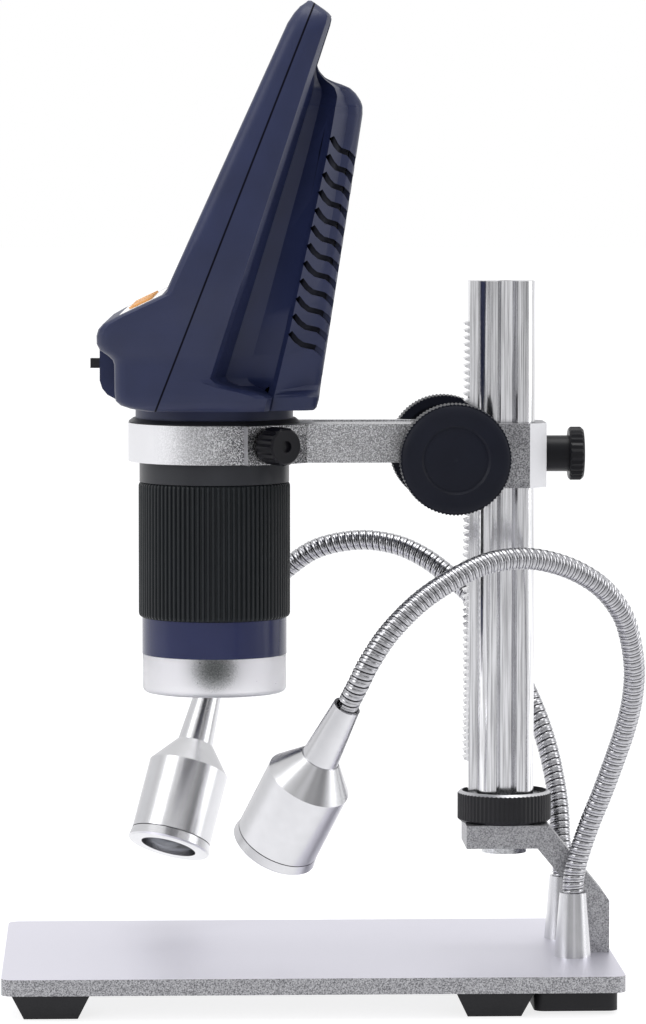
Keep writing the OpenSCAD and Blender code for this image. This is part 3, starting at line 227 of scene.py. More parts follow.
def plastic(name, color, rough=0.4, grain=2600, depth=0.00004):
    """Moulded plastic with a fine spark-eroded grain."""
    s = Shader(name, color, 0.0, rough)
    fine = s.noise(grain, 2, 0.6)
    wide = s.noise(70, 2, 0.5, seed=5)
    lighter = tuple(min(1, c * 1.12) for c in color)
    darker = tuple(c * 0.9 for c in color)
    s.color(s.mix(s.span(wide, 0, 1), darker, lighter))
    s.rough(s.span(fine, rough - 0.05, rough + 0.06))
    s.bump(fine, 0.25, depth)
    if sum(color) < DARK:
        s.set("Specular IOR Level", 0.3)
    return s


def turned(name, color, rough, origin, axis, depth=0.00002):
    """Metal turned on a lathe, with fine rings along its axis."""
    s = Shader(name, color, 1.0, rough)
    rings = s.lines(origin, axis, 9000)
    stain = s.noise(260, 3, 0.6)
    s.color(s.mix(s.span(stain, 0, 0.5), color, tuple(c * 0.9 for c in color)))
    s.rough(s.span(rings, rough - 0.015, rough + 0.02))
    s.bump(rings, 0.05, depth)
    return s


def drawn(name, color, rough, stretch):
    """Metal with long fine streaks along its draw direction, which darken its colour: partly real draw lines,
    partly painted reflection.
    """
    s = Shader(name, color, 1.0, rough)
    streak = s.noise(1500, 3, 0.6, stretch=stretch)
    grain = s.noise(2600, 2, 0.6, seed=2)
    s.color(s.mix(s.span(streak, 0, 1.0, 0.42, 0.62), color, tuple(c * 0.58 for c in color)))
    s.rough(s.span(streak, rough - 0.06, rough + 0.1))
    s.bump(streak, 0.2, 0.00004)
    s.bump(grain, 0.12, 0.00004)
    return s


plate = Shader("plate anodised", (0.72, 0.71, 0.80), 1.0, 0.42)
up = plate.span(plate.normal_part("Z"), 0, 1, 0.6, 0.9)
grit = plate.noise(2300, 3, 0.7)
edge_tone = plate.ramp(grit, [(0.38, (0.12, 0.12, 0.13)), (0.62, (0.56, 0.56, 0.58))])
top_grit = plate.mix(plate.span(grit, 0, 1), (0.74, 0.73, 0.80), (0.80, 0.79, 0.87))
plate.color(plate.mix(up, edge_tone, top_grit))
plate.rough(plate.span(grit, 0.38, 0.5))
plate.bump(grit, 0.15, 0.00008)
dress(plate, "base_plate")

sand = blasted("grey blasted aluminium", (0.16, 0.16, 0.17), (0.62, 0.62, 0.64), 0.46)
dress(sand, "stand_bracket")

block = blasted("carriage blasted aluminium", (0.12, 0.12, 0.13), (0.62, 0.62, 0.64), 0.44, 0.40, 0.60)
milled = block.span(block.normal_part("X"), 0.0, 1.0, 0.30, 0.50)
block.color(block.mix(milled, block.tone(), (0.60, 0.60, 0.62)))
dress(block, "carriage_block")

holder = blasted("pale blasted aluminium", (0.06, 0.06, 0.065), (0.96, 0.96, 0.98), 0.40, 0.44, 0.60)
# Painted highlight: faces turned towards -X, where the key lamp stands, are mixed to a light metal colour
painted_left_sheen = holder.span(holder.normal_part("X"), 1.0, 0.0, -0.75, 0.30)
holder.color(holder.mix(painted_left_sheen, holder.tone(), (0.80, 0.80, 0.82)))
dress(holder, "holder_arm")

# The column's dark streaks are partly painted reflection of the studio's dark walls and partly real draw
# lines
column = drawn("drawn column", (0.90, 0.90, 0.92), 0.15, (1, 1, 0.02))
dress(column, "column", "rack")

bright = drawn("bright steel", (0.66, 0.67, 0.69), 0.25, (1, 1, 1))
dress(bright, "bracket_screws", "boot_nuts", "column_foot", "arm_screws", "pinion_shaft")
dress(bright, "shell_screws", "usb_socket")

black_metal = plastic("black anodised", (0.004, 0.004, 0.006), 0.36, 3000)
black_metal.set("Specular IOR Level", 0.2)
dress(black_metal, "carriage_screw", "ring_screw")
knob = plastic("knob", (0.005, 0.006, 0.012), 0.42, 2400)
knob.set("Specular IOR Level", 0.16)
dress(knob, "front_knob", "rear_knob")

nut = Shader("knurled nut", (0.02, 0.02, 0.022), 0.0, 0.4)
nut.set("Specular IOR Level", 0.3)
nut_up = nut.span(nut.normal_part("Z"), 0, 1, 0.25, 0.4)
nut.color(nut.mix(nut_up, (0.008, 0.008, 0.010), (0.62, 0.62, 0.64)))
nut.link(nut_up, nut.bsdf.inputs["Metallic"])
nut.bump(nut.noise(2600, 2), 0.2, 0.00004)
dress(nut, "lock_nut")

NAVY = (0.012, 0.017, 0.053)
navy = plastic("navy casing", NAVY, 0.38, 3000, 0.00003)
dress(navy, "switch_housing", "head_collar")
navy_ring = plastic("navy ring", (0.015, 0.019, 0.060), 0.20, 3000, 0.00002)
dress(navy_ring, "led_housing")
barrel = plastic("barrel", (0.019, 0.020, 0.024), 0.34, 3000, 0.00003)

# The head's own frame, as in part.scad: u to the back, y to the side, v up
HEAD_X, HEAD_Z = -0.0333, 0.1789
HEAD_TURN = math.radians(2)
HEAD_COS, HEAD_SIN = math.cos(HEAD_TURN), math.sin(HEAD_TURN)

# The two shells meet along a fine dark line, on a plane that leans back with the casing
SEAM_LEAN = math.atan(0.392)
SEAM_BACK = 0.017
SEAM_RISE = 0.0051
SEAM_AT = (HEAD_X - SEAM_BACK * HEAD_COS, SEAM_BACK * HEAD_SIN, HEAD_Z + SEAM_RISE)
SEAM_NORMAL = (
    math.cos(SEAM_LEAN) * HEAD_COS, -math.cos(SEAM_LEAN) * HEAD_SIN, -math.sin(SEAM_LEAN)
)


def seam(s, color):
    """Darkens the line where the shells meet, and takes the gloss off it."""
    off_plane = s.math("ABSOLUTE", s.along(SEAM_AT, SEAM_NORMAL))
    near = s.span(off_plane, 1, 0, 0.20 * MM, 0.36 * MM)
    s.color(s.mix(near, s.tone(), color))
    s.link(s.span(near, 0.35, 0.02, 0, 1), s.bsdf.inputs["Specular IOR Level"])


shell = plastic("shell", NAVY, 0.42, 3000, 0.00003)
seam(shell, (0.003, 0.003, 0.006))
dress(shell, "front_shell", "rear_shell")
dress(barrel, "barrel_tube", "head_flange")
ribs = plastic("focus ring", (0.007, 0.009, 0.011), 0.42, 2600)
dress(ribs, "focus_ring")
black = plastic("black plastic", (0.011, 0.011, 0.013), 0.48, 2200)
dress(black, "wire_box", "power_switch")
rubber = plastic("rubber", (0.013, 0.013, 0.015), 0.65, 1600, 0.00008)
dress(rubber, "feet")

board = plastic("solder mask", (0.01, 0.10, 0.045), 0.35, 1200)
dress(board, "lamp_board", "main_board", "sensor_board")
foil = drawn("cell foil", (0.6, 0.61, 0.63), 0.3, (0.1, 1, 1))
dress(foil, "battery")
panel = plastic("display panel", (0.01, 0.01, 0.014), 0.2, 2000)
dress(panel, "lcd_panel")
dark_metal = blasted("cell black", (0.015, 0.015, 0.017), (0.04, 0.04, 0.045), 0.4)
dress(dark_metal, "lens_cell")

screen = Shader("screen glass", (0.004, 0.004, 0.006), 0.0, 0.04)
smear = screen.noise(60, 3, 0.6)
screen.rough(screen.span(smear, 0.03, 0.09))
screen.color(screen.mix(screen.span(smear, 0, 1), (0.003, 0.003, 0.005), (0.008, 0.008, 0.011)))
screen.set("Coat Weight", 1.0)
screen.set("Coat Roughness", 0.02)
dress(screen, "screen_glass")

keypad = plastic("keypad foil", (0.78, 0.77, 0.76), 0.35, 2600)
dress(keypad, "keypad_plate")
button = plastic("button", (0.62, 0.30, 0.09), 0.35, 2600)
dress(button, "button_power", "button_menu", "button_up", "button_down", "button_ok")

led = plastic("lamp board", (0.75, 0.75, 0.70), 0.4, 2000)
dress(led, "led_board", "front_led", "rear_led")


def glass(name, color, rough, weight=1.0):
    """Clear or frosted glass with a faint haze."""
    s = Shader(name, color, 0.0, rough)
    s.set("Transmission Weight", weight)
    s.set("IOR", 1.46)
    haze = s.noise(300, 3, 0.6)
    s.rough(s.span(haze, rough * 0.8, rough * 1.25))
    s.bump(s.noise(2400, 2), 0.05, 0.00002)
    return s


optic = glass("optic glass", (0.86, 0.90, 0.95), 0.03)
dress(optic, "objective_lens", "lens_window", "front_lens", "rear_lens")
shade = glass("frosted shade", (0.93, 0.93, 0.97), 0.34, 0.80)

# The dark lens seen through the frosted wall is painted on it as a blurred, grainy dark spot. It is sized by
# the square of the distance from its middle, in square millimetres, and the facing weight stands for the part
# across
SHADE_R = 22.45
SPOT_DROP = 3.4 * MM
SPOT_CORE, SPOT_EDGE, SPOT_GRAIN = 8.0, 72.0, 26.0
shade_low, shade_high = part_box("shade")
facing = shade.add("ShaderNodeLayerWeight").outputs["Facing"]
across = shade.math("MULTIPLY", facing, 2 * SHADE_R**2)
down = shade.math("MULTIPLY", shade.math("SUBTRACT", shade.local("Z"), shade_high.z - SPOT_DROP), 1000.0)
spread = shade.math("ADD", across, shade.math("MULTIPLY", down, down))
speck = shade.span(shade.noise(2600, 2, 0.8, seed=9), -SPOT_GRAIN, SPOT_GRAIN, 0.25, 0.75)
spot = shade.span(shade.math("ADD", spread, speck), 1.0, 0.0, SPOT_CORE, SPOT_EDGE)
lip = shade.span(shade.local("Z"), 1, 0, shade_low.z + 0.7 * MM, shade_low.z + 1.9 * MM)
shade_tone = shade.mix(lip, (0.98, 0.975, 1.0), (0.84, 0.84, 0.88))
shade.color(shade.mix(spot, shade_tone, (0.09, 0.10, 0.10)))
dress(shade, "shade")


# ---------------------------------------------------------------- lamps and goosenecks

TURN_PITCH = 2.25 * MM
HOSE_R = 3.35 * MM
GROOVE_DEPTH = 0.45 * MM
ENDS_IN = 5  # millimetres of the tube inside the boot, and inside the lamp's neck
PATH_STEPS = 6
SIDES = 28
FRONT_ROUTE = [
    (0, 0, 0), (0.4, 0, 6), (2.1, -0.4, 13), (5.2, -1.4, 22.4), (8.6, -3, 31.4), (12, -5.6, 41.6),
    (14.9, -8.6, 51.4), (16.8, -12, 61), (17.1, -16, 71.4), (15.2, -20.6, 82), (12, -25, 90),
    (5.4, -29.6, 98), (-4.4, -34, 104), (-16.4, -39.5, 107.4), (-28.4, -44.5, 107), (-39, -49, 103.2),
    (-50.6, -53, 96.2), (-60.2, -55.6, 87), (-66.4, -56.4, 78), (-70, -55, 70.6), (-73, -52, 64.2),
]
REAR_ROUTE = [
    (0, 0, 0), (0, 0.3, 6), (-0.6, 1.9, 12), (-0.8, 4.4, 20), (-1.8, 8, 29), (-3.9, 12, 39.6),
    (-7.4, 16.4, 50.6), (-12.4, 23, 62), (-19, 30, 75), (-26.4, 36, 86), (-34.4, 40.6, 93),
    (-42, 44.4, 98.4), (-51, 48, 102.2), (-62.6, 51.6, 103.4), (-75.8, 55, 100.6), (-86, 57, 93.8),
    (-95.4, 58, 85), (-103, 57.4, 75), (-108, 55, 65), (-111.4, 52, 55.4),
]
FRONT_AIM = Vector((-0.38, 0.43, -0.82)).normalized()
REAR_AIM = Vector((-0.25, -0.36, -0.9)).normalized()


def boot_tip(name):
    """The middle of a boot's mouth, where its gooseneck comes out."""
    low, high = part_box(name)
    return Vector(((low.x + high.x) / 2, (low.y + high.y) / 2, high.z))


def smooth_path(points, steps):
    """A smooth curve through the points, as a list of closer points."""
    out = []
    last = len(points) - 1
    for k in range(last):
        a, b, c, d = (points[i] for i in (max(0, k - 1), k, k + 1, min(last, k + 2)))
        for i in range(steps):
            t = i / steps
            bend = (2 * a - 5 * b + 4 * c - d) * t * t
            out.append(0.5 * (2 * b + (c - a) * t + bend + (3 * b - a - 3 * c + d) * t**3))
    return out + [points[last]]


class Curve:
    """Positions and frames along a path, by arc length."""

    def __init__(self, path):
        self.path = path
        self.at = [0.0]
        for a, b in zip(path, path[1:]):
            self.at.append(self.at[-1] + (b - a).length)
        self.length = self.at[-1]
        self.sides = []
        side = Vector((1, 0, 0))
        for k in range(len(path)):
            along = (path[min(k + 1, len(path) - 1)] - path[max(k - 1, 0)]).normalized()
            side = (side - along * side.dot(along)).normalized()
            self.sides.append((side.copy(), along.cross(side)))

    def ring_point(self, s, angle, radius):
        """The point at distance s along the path, on the circle round it."""
        s = min(max(s, 0.0), self.length)
        low, high = 0, len(self.at) - 1
        while high - low > 1:
            mid = (low + high) // 2
            if self.at[mid] <= s:
                low = mid
            else:
                high = mid
        t = (s - self.at[low]) / max(1e-9, self.at[high] - self.at[low])
        centre = self.path[low].lerp(self.path[high], t)
        side = self.sides[low][0].lerp(self.sides[high][0], t).normalized()
        across = self.sides[low][1].lerp(self.sides[high][1], t).normalized()
        return centre + (side * math.cos(angle) + across * math.sin(angle)) * radius


# One turn of the wound tube: how far along it, and how deep under the outer radius
BAND = [
    (0.0, 0.44), (0.06, 0.42), (0.10, 0.05), (0.18, 0.0), (0.34, 0.02), (0.38, 0.24), (0.42, 0.24),
    (0.47, 0.10), (0.66, 0.07), (0.88, 0.12), (0.95, 0.22),
]


def grid_faces(rows, per_row):
    """Quads between rows of points."""
    return [
        (k * per_row + i, k * per_row + i + 1, (k + 1) * per_row + i + 1, (k + 1) * per_row + i)
        for k in range(rows - 1) for i in range(per_row - 1)
    ]


def new_mesh(name, verts, faces):
    mesh = bpy.data.meshes.new(name)
    mesh.from_pydata([tuple(v) for v in verts], [], faces)
    mesh.validate()
    mesh.shade_smooth()
    obj = bpy.data.objects.new(name, mesh)
    scene.collection.objects.link(obj)
    return obj


def wound_tube(name, path):
    """A gooseneck: one strip wound round the path, with a step and a groove at each turn."""
    curve = Curve(path)
    turns = int(curve.length / TURN_PITCH) - 1
    per = len(BAND)
    rows = [
        (k * TURN_PITCH + at * TURN_PITCH, HOSE_R - deep * MM) for k in range(turns) for at, deep in BAND
    ]
    verts = []
    for s, r in rows:
        for j in range(SIDES):
            verts.append(curve.ring_point(s + TURN_PITCH * j / SIDES, 2 * math.pi * j / SIDES, r))
    faces = []
    for i in range(len(rows) - per - 1):
        for j in range(SIDES):
            if j + 1 < SIDES:
                faces.append((i * SIDES + j, i * SIDES + j + 1, (i + 1) * SIDES + j + 1, (i + 1) * SIDES + j))
            else:
                n = i + per
                faces.append((i * SIDES + j, n * SIDES, (n + 1) * SIDES, (i + 1) * SIDES + j))
    obj = new_mesh(name, verts, faces)
    obj.data.set_sharp_from_angle(angle=math.radians(50))
    # How deep each point lies in its groove; the strip's material uses this to paint shade into the grooves
    groove = obj.data.attributes.new("groove", "FLOAT", "POINT")
    for i, (_, r) in enumerate(rows):
        for j in range(SIDES):
            groove.data[i * SIDES + j].value = min(1.0, (HOSE_R - r) / GROOVE_DEPTH)
    return obj


hose_metal = Shader("gooseneck strip", (0.62, 0.62, 0.64), 1.0, 0.24)
hose_stain = hose_metal.noise(900, 3, 0.6)
hose_tone = hose_metal.mix(hose_metal.span(hose_stain, 0, 0.7), (0.54, 0.54, 0.56), (0.34, 0.34, 0.36))
# Painted shade: the strip turns near black in the deep part of each groove
hose_depth = hose_metal.add("ShaderNodeAttribute", attribute_name="groove").outputs["Fac"]
hose_groove_shade = hose_metal.span(hose_depth, 0, 0.92, 0.30, 0.85)
hose_metal.color(hose_metal.mix(hose_groove_shade, hose_tone, (0.03, 0.03, 0.035)))
hose_metal.rough(hose_metal.span(hose_stain, 0.18, 0.30))

for side, route, aim in (("front", FRONT_ROUTE, FRONT_AIM), ("rear", REAR_ROUTE, REAR_AIM)):
    tip = boot_tip(side + "_boot")
    points = [tip + Vector(p) * MM for p in route]
    ends = [tip - Vector((0, 0, ENDS_IN * MM))] + points + [points[-1] + aim * ENDS_IN * MM]
    tube = wound_tube(side + "_tube", smooth_path(ends, PATH_STEPS))
    tube.data.materials.append(hose_metal.mat)
    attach(tube, side + "_lamp")
    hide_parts(side + "_gooseneck")

    end = points[-1]
    lamp_metal = turned(side + " lamp metal", (0.66, 0.66, 0.68), 0.24, tuple(end), tuple(aim))
    dress(lamp_metal, side + "_housing", side + "_bezel", side + "_neck")
    boot_metal = turned(side + " boot metal", (0.64, 0.64, 0.66), 0.22, tuple(tip), (0, 0, 1))
    dress(boot_metal, side + "_boot")


# ---------------------------------------------------------------- ribbed focus ring

RIBS = 92
RIB_R = 23.7
RIB_STEPS = [(0.0, 0.85), (0.16, 0.78), (0.30, 0.12), (0.42, 0.0), (0.62, 0.0), (0.74, 0.12), (0.88, 0.78)]
RIB_DEEPEST = 0.95
ROUND_END = [(0.0, 1.0), (0.12, 0.62), (0.36, 0.32), (0.75, 0.1), (1.3, 0.0)]
BORE_INSET = 3.0


def ribbed_ring(name, low, high):
    """The ring that focuses, with the fine ribs of its grip and rounded ends."""
    height = (high.z - low.z) / MM
    ends = [(0.0, BORE_INSET)] + ROUND_END
    rows = ends + [(height / 2, 0.0)] + [(height - z, inset) for z, inset in reversed(ends)]
    centre = Vector(((low.x + high.x) / 2, (low.y + high.y) / 2, low.z))
    count = RIBS * len(RIB_STEPS)
    verts = []
    for z, inset in rows:
        for k in range(RIBS):
            for at, deep in RIB_STEPS:
                angle = 2 * math.pi * (k + at) / RIBS
                if inset < BORE_INSET:
                    r = RIB_R - max(inset, min(deep + inset * 0.4, RIB_DEEPEST))
                else:
                    r = RIB_R - inset
                verts.append(centre + Vector((r * math.cos(angle), r * math.sin(angle), z)) * MM)
    faces = [
        (i * count + j, i * count + (j + 1) % count, (i + 1) * count + (j + 1) % count, (i + 1) * count + j)
        for i in range(len(rows) - 1) for j in range(count)
    ]
    obj = new_mesh(name, verts, faces)
    obj.data.materials.append(ribs.mat)
    obj.data.set_sharp_from_angle(angle=math.radians(48))
    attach(obj, "focus_ring")
    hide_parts("focus_ring")


ribbed_ring("ribbed_ring", *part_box("focus_ring"))


# ---------------------------------------------------------------- head: dark sheets that paint the shade behind the vents, and the hump's blend

# Places in the head's frame, in millimetres, by height v: the rear shell's back, the hump's back, and
# the ridge beside each groove with its half width
REAR_LINE = [(5.1, -2.2), (122.6, 35.9875)]
HUMP_LINE = [
    (5.1, 31.4), (5.9, 32.2), (8.4, 32.9), (95.4, 46.1), (97.7, 46.1), (99.8, 45.3), (101.9, 43.9),
    (103.5, 42.2), (104.5, 40), (105.4, 37.2), (106.6, 34.6), (108.4, 33), (110.4, 31.9),
]
RIDGE_LINE = [
    (5.1, 18.2), (8.9, 19), (29, 23.8), (54.5, 29.1), (89, 36.5), (101, 38.2), (103.5, 37.4),
    (104.5, 36.4), (105.4, 35.2), (106.6, 33.9), (108.4, 32.6), (110.4, 31.9),
]
RIDGE_WIDTH = [(5.1, 31), (30, 37), (70, 43.5), (98, 45), (103.5, 43), (106.6, 38), (110.4, 30)]
HEAD_ORIGIN = Vector((HEAD_X, 0, HEAD_Z))
RIDGE_FULL = 8  # the ridge's height over the casing, in millimetres, from which the groove is at its deepest


def head_point(u, y, v):
    """A point in the head's own frame, in millimetres, placed in the scene."""
    return HEAD_ORIGIN + Vector((u * HEAD_COS + y * HEAD_SIN, -u * HEAD_SIN + y * HEAD_COS, v)) * MM


def lookup(v, table):
    """The table's value at height v, straight between its rows."""
    for (v0, a), (v1, b) in zip(table, table[1:]):
        if v <= v1:
            return a + (b - a) * max(0.0, (v - v0) / (v1 - v0))
    return table[-1][1]


VENT_SHEET_LOW, VENT_SHEET_STEP, VENT_SHEET_ROWS = 18, 2.7, 31
VENT_SHEET_GAP = 2.5
CAP_LOW, CAP_STEP, CAP_ROWS = 96.4, 0.55, 26
CAP_LIFT = 0.16
CAP_RISE_FROM, CAP_RISE_OVER, CAP_DIP = 97.6, 0.8, 1.5
CAP_FALL_FROM, CAP_FALL_RATE = 109.2, 0.4


def dark_vent_sheet(name, side, gap):
    """A dark sheet inside the shell's flank, from the groove's floor round the ridge to the hump's back, that
    paints the shade seen through the vents.
    """
    levels = [VENT_SHEET_LOW + VENT_SHEET_STEP * k for k in range(VENT_SHEET_ROWS)]
    verts = []
    for v in levels:
        us = lookup(v, REAR_LINE)
        ur = lookup(v, RIDGE_LINE)
        ub = lookup(v, HUMP_LINE) - gap
        wr = lookup(v, RIDGE_WIDTH)
        deep = max(0.0, min(1.0, (ur - us) / RIDGE_FULL))
        wb = wr - 7 * deep - gap * 0.6
        row = [
            (us + (ur - us) * 0.5 + gap, wr - 4.6 * deep - gap),
            (ur - 1.4 * deep + gap * 0.6, wr - 1.8 * deep - gap * 1.2),
            (ur + gap * 0.4, wr - gap * 1.05),
            (ur + (ub - ur) * 0.45, wr + (wb - wr) * 0.45 - gap * 0.62),
            (ub - 2.6, wb), (ub - 0.8, wb - 1.2), (ub, wb - 3.4), (ub, wb - 9),
        ]
        verts += [head_point(u, y * side, v) for u, y in row]
    obj = new_mesh(name, verts, grid_faces(len(levels), len(row)))
    obj.data.materials.append(vent_shade_paint.mat)
    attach(obj, "head")


def hump_cap(name):
    """The moulded blend at the top of the hump, laid over the shell from groove to groove."""
    levels = [CAP_LOW + CAP_STEP * k for k in range(CAP_ROWS)]
    verts = []
    for v in levels:
        us = lookup(v, REAR_LINE)
        ur = max(us + 0.2, lookup(v, RIDGE_LINE))
        ub = max(us + 0.3, lookup(v, HUMP_LINE))
        wr = lookup(v, RIDGE_WIDTH)
        deep = max(0.0, min(1.0, (ur - us) / RIDGE_FULL))
        rb = min(4.5, (ub - ur) * 0.6)
        wb = wr - 7 * deep
        half = [
            (us - 1.5, wr + 2 * deep), (us, wr + 2 * deep), (us + (ur - us) * 0.16, wr - 3.2 * deep),
            (us + (ur - us) * 0.5, wr - 4.6 * deep), (ur - 1.4 * deep, wr - 1.8 * deep), (ur, wr),
        ]
        for k in range(4):
            a = math.radians(90 - 30 * k)
            half.append((ub - rb + rb * math.cos(a), wb - rb + rb * math.sin(a)))
        half += [(ub, (wb - rb) * 0.5), (ub, 0)]
        # Both ends dip under the shell, and the rest stands proud of it
        lift = CAP_LIFT * min(1.0, max(-CAP_DIP, (v - CAP_RISE_FROM) / CAP_RISE_OVER))
        lift = min(lift, CAP_LIFT - CAP_FALL_RATE * max(0.0, v - CAP_FALL_FROM))
        row = []
        for k, (u, y) in enumerate(half):
            before, after = half[max(0, k - 1)], half[min(len(half) - 1, k + 1)]
            du, dy = after[0] - before[0], after[1] - before[1]
            size = math.hypot(du, dy) or 1.0
            row.append((u - dy / size * lift, y + du / size * lift) if k > 1 else (u, y))
        row[-1] = (ub + lift, 0)
        row += [(u, -y) for u, y in reversed(row[:-1])]
        verts += [head_point(u, y, v) for u, y in row]
    obj = new_mesh(name, verts, grid_faces(len(levels), len(row)))
    obj.data.set_sharp_from_angle(angle=math.radians(44))
    obj.data.materials.append(navy.mat)
    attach(obj, "head")


hump_cap("hump_cap")

# Painted shade: a near-black sheet behind the vents stands for the dark inside of the casing
vent_shade_paint = plastic("painted vent shade", (0.006, 0.007, 0.014), 0.8, 1400, 0.0002)
vent_sheet_weave = vent_shade_paint.noise(3200, 1, 0.5, stretch=(1, 0.3, 1))
vent_shade_paint.bump(vent_sheet_weave, 0.4, 0.0001)
for side, where in (("front", -1), ("rear", 1)):
    dark_vent_sheet(side + "_vent_shade_sheet", where, VENT_SHEET_GAP)


# ---------------------------------------------------------------- smooth shading of the CAD nodes

FLAT = {"base_plate", "stand_bracket", "main_board", "lamp_board", "usb_socket"}
WELD_GAP = 0.000005
EDGE_ANGLE = math.radians(32)
for name, obj in nodes.items():
    if name not in FLAT:
        obj.data.shade_smooth()
        obj.modifiers.new("weld", "WELD").merge_threshold = WELD_GAP
        obj.modifiers.new("edges", "EDGE_SPLIT").split_angle = EDGE_ANGLE


# ---------------------------------------------------------------- studio


def ray_kinds(tree, *names):
    """1 where the ray is one of these kinds."""
    paths = tree.nodes.new("ShaderNodeLightPath")
    total = paths.outputs[names[0]]
    for name in names[1:]:
        total = math_node(tree, "MAXIMUM", total, paths.outputs[name])
    return total


# The studio as tones by direction: azimuth in degrees from the camera's side, towards +X
WALLS = [
    (-180, 1.0), (-112, 1.0), (-100, 0.72), (-92, 1.0), (-62, 1.0), (-50, 0.42), (-36, 0.16), (-22, 0.40),
    (-8, 0.34), (-2, 0.85), (9, 0.90), (16, 0.36), (30, 0.52), (44, 0.24), (54, 0.14), (64, 0.80),
    (84, 0.95), (98, 0.42), (112, 0.90), (135, 1.0), (180, 1.0),
]
STUDIO_LEVEL = 0.9

world = bpy.data.worlds.new("studio")
scene.world = world
world.use_nodes = True
wt = world.node_tree
wt.nodes.clear()

look = wt.nodes.new("ShaderNodeTexCoord")
axes = wt.nodes.new("ShaderNodeSeparateXYZ")
wt.links.new(look.outputs["Generated"], axes.inputs["Vector"])
azimuth = math_node(wt, "ARCTAN2", axes.outputs["X"], math_node(wt, "MULTIPLY", axes.outputs["Y"], -1.0))
around = math_node(wt, "ADD", math_node(wt, "DIVIDE", azimuth, 2 * math.pi), 0.5)
walls = wt.nodes.new("ShaderNodeValToRGB")
fill_ramp(walls, [(degrees / 360 + 0.5, (tone, tone, tone * 1.01)) for degrees, tone in WALLS])
wt.links.new(around, walls.inputs["Fac"])
ceiling = wt.nodes.new("ShaderNodeMapRange")
ceiling.inputs["From Min"].default_value = 0.35
ceiling.inputs["From Max"].default_value = 0.62
wt.links.new(axes.outputs["Z"], ceiling.inputs["Value"])
tones = wt.nodes.new("ShaderNodeMix")
tones.data_type = "RGBA"
wt.links.new(ceiling.outputs["Result"], tones.inputs["Factor"])
side_tone, top_tone = color_sockets(tones.inputs)
wt.links.new(walls.outputs["Color"], side_tone)
top_tone.default_value = (1, 1, 1, 1)
studio = wt.nodes.new("ShaderNodeBackground")
wt.links.new(color_sockets(tones.outputs)[0], studio.inputs["Color"])
studio.inputs["Strength"].default_value = STUDIO_LEVEL
seen = wt.nodes.new("ShaderNodeBackground")
seen.inputs["Color"].default_value = (1, 1, 1, 1)
seen.inputs["Strength"].default_value = 1.0
sky_mix = wt.nodes.new("ShaderNodeMixShader")
wt.links.new(ray_kinds(wt, "Is Camera Ray"), sky_mix.inputs["Fac"])
wt.links.new(studio.outputs[0], sky_mix.inputs[1])
wt.links.new(seen.outputs[0], sky_mix.inputs[2])
out = wt.nodes.new("ShaderNodeOutputWorld")
wt.links.new(sky_mix.outputs[0], out.inputs["Surface"])

# The floor is white to the camera, and dimmer in front of the plate to what reflects it
GLOW_LOW, GLOW_HIGH = 0.30, 0.80
FLOOR_DROP = 0.0002

floor_mesh = bpy.data.meshes.new("floor")
floor_mesh.from_pydata([(-6, -6, 0), (6, -6, 0), (6, 12, 0), (-6, 12, 0)], [], [(0, 1, 2, 3)])
floor = bpy.data.objects.new("floor", floor_mesh)
scene.collection.objects.link(floor)
floor.location.z = -FLOOR_DROP
floor_mat = bpy.data.materials.new("floor")
floor_mat.use_nodes = True
ft = floor_mat.node_tree
ft.nodes.clear()
f_out = ft.nodes.new("ShaderNodeOutputMaterial")
f_mix = ft.nodes.new("ShaderNodeMixShader")
f_plain = ft.nodes.new("ShaderNodeBsdfDiffuse")
f_plain.inputs["Color"].default_value = (0.78, 0.78, 0.79, 1)
f_add = ft.nodes.new("ShaderNodeAddShader")
f_shadow = ft.nodes.new("ShaderNodeBsdfDiffuse")
f_shadow.inputs["Color"].default_value = (0.34, 0.34, 0.35, 1)
f_glow = ft.nodes.new("ShaderNodeEmission")
f_glow.inputs["Color"].default_value = (1, 1, 1, 1)
f_place = ft.nodes.new("ShaderNodeTexCoord")
f_axes = ft.nodes.new("ShaderNodeSeparateXYZ")
f_near = ft.nodes.new("ShaderNodeMapRange")
f_near.inputs["From Min"].default_value = -0.22
f_near.inputs["From Max"].default_value = -0.10
f_near.inputs["To Min"].default_value = GLOW_LOW
f_near.inputs["To Max"].default_value = GLOW_HIGH
ft.links.new(f_place.outputs["Object"], f_axes.inputs["Vector"])
ft.links.new(f_axes.outputs["Y"], f_near.inputs["Value"])
f_even = math_node(ft, "MULTIPLY", ray_kinds(ft, "Is Camera Ray"), GLOW_HIGH)
f_most = math_node(ft, "MAXIMUM", f_near.outputs["Result"], f_even)
ft.links.new(f_most, f_glow.inputs["Strength"])
ft.links.new(ray_kinds(ft, "Is Camera Ray", "Is Glossy Ray", "Is Transmission Ray"), f_mix.inputs["Fac"])
ft.links.new(f_plain.outputs[0], f_mix.inputs[1])
ft.links.new(f_shadow.outputs[0], f_add.inputs[0])
ft.links.new(f_glow.outputs[0], f_add.inputs[1])
ft.links.new(f_add.outputs[0], f_mix.inputs[2])
ft.links.new(f_mix.outputs[0], f_out.inputs["Surface"])
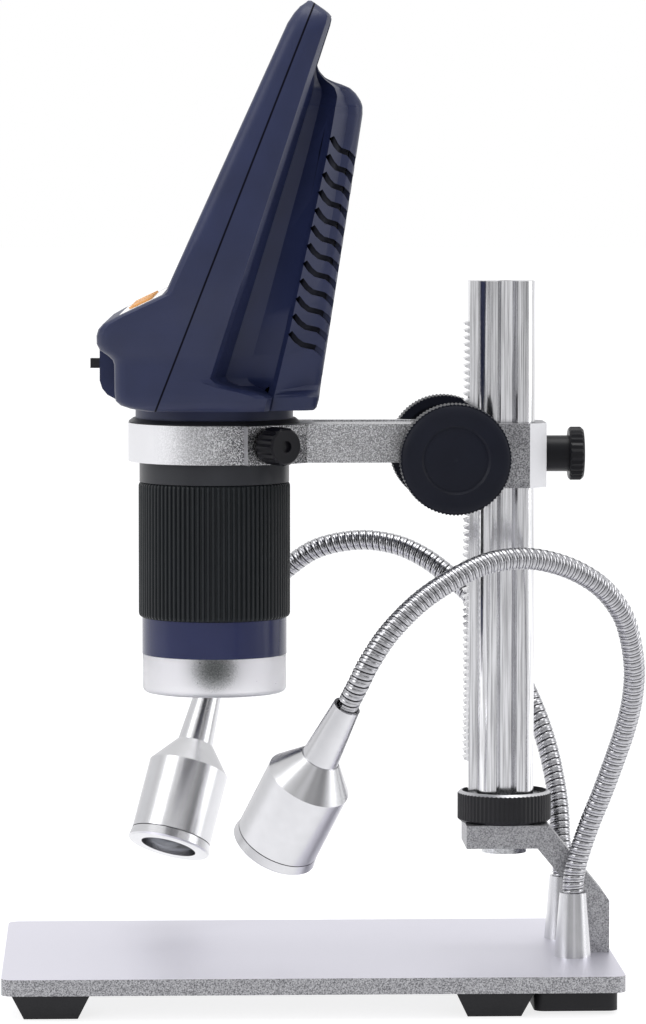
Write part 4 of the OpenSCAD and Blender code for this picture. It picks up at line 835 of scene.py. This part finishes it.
floor_mesh.materials.append(floor_mat)


def area(name, centre, target, size, watts):
    """A rectangular lamp that faces its target."""
    data = bpy.data.lights.new(name, "AREA")
    data.shape = "RECTANGLE"
    data.size, data.size_y = size
    data.energy = watts
    obj = bpy.data.objects.new(name, data)
    scene.collection.objects.link(obj)
    obj.location = centre
    obj.rotation_euler = (Vector(target) - Vector(centre)).to_track_quat("-Z", "Y").to_euler()
    return obj


area("key_left", (-1.3, -0.7, 0.9), (0, 0, 0.15), (0.9, 1.2), 8)
area("top", (0.0, 0.0, 1.7), (0, 0, 0.1), (1.2, 0.9), 13)
area("right", (1.5, -0.2, 0.6), (0, 0, 0.15), (0.7, 1.2), 5)
area("front", (-0.6, -1.7, 0.7), (0, 0, 0.2), (0.7, 0.7), 9).visible_glossy = False

# ---------------------------------------------------------------- camera

YAW, PITCH_DOWN, ROLL = (math.radians(v) for v in (2.369, 4.095, 0.04))
CAMERA_AT = (-0.0642, -1.5782, 0.2637)
FOCAL_PIXELS, FRAME_PIXELS, SENSOR = 5060, 1024, 36
forward = Vector((
    math.sin(YAW) * math.cos(PITCH_DOWN), math.cos(YAW) * math.cos(PITCH_DOWN), -math.sin(PITCH_DOWN)
))
level = Vector((math.cos(YAW), -math.sin(YAW), 0))
above = level.cross(forward)
cam_x = level * math.cos(ROLL) + above * math.sin(ROLL)
cam_y = above * math.cos(ROLL) - level * math.sin(ROLL)
camera = bpy.data.objects.new("camera", bpy.data.cameras.new("camera"))
scene.collection.objects.link(camera)
camera.matrix_world = Matrix((
    (cam_x.x, cam_y.x, -forward.x, CAMERA_AT[0]),
    (cam_x.y, cam_y.y, -forward.y, CAMERA_AT[1]),
    (cam_x.z, cam_y.z, -forward.z, CAMERA_AT[2]),
    (0, 0, 0, 1),
))
camera.data.sensor_width = SENSOR
camera.data.lens = FOCAL_PIXELS * SENSOR / FRAME_PIXELS
camera.data.clip_start = 0.1
camera.data.clip_end = 30
scene.camera = camera
scene.view_settings.view_transform = "Standard"
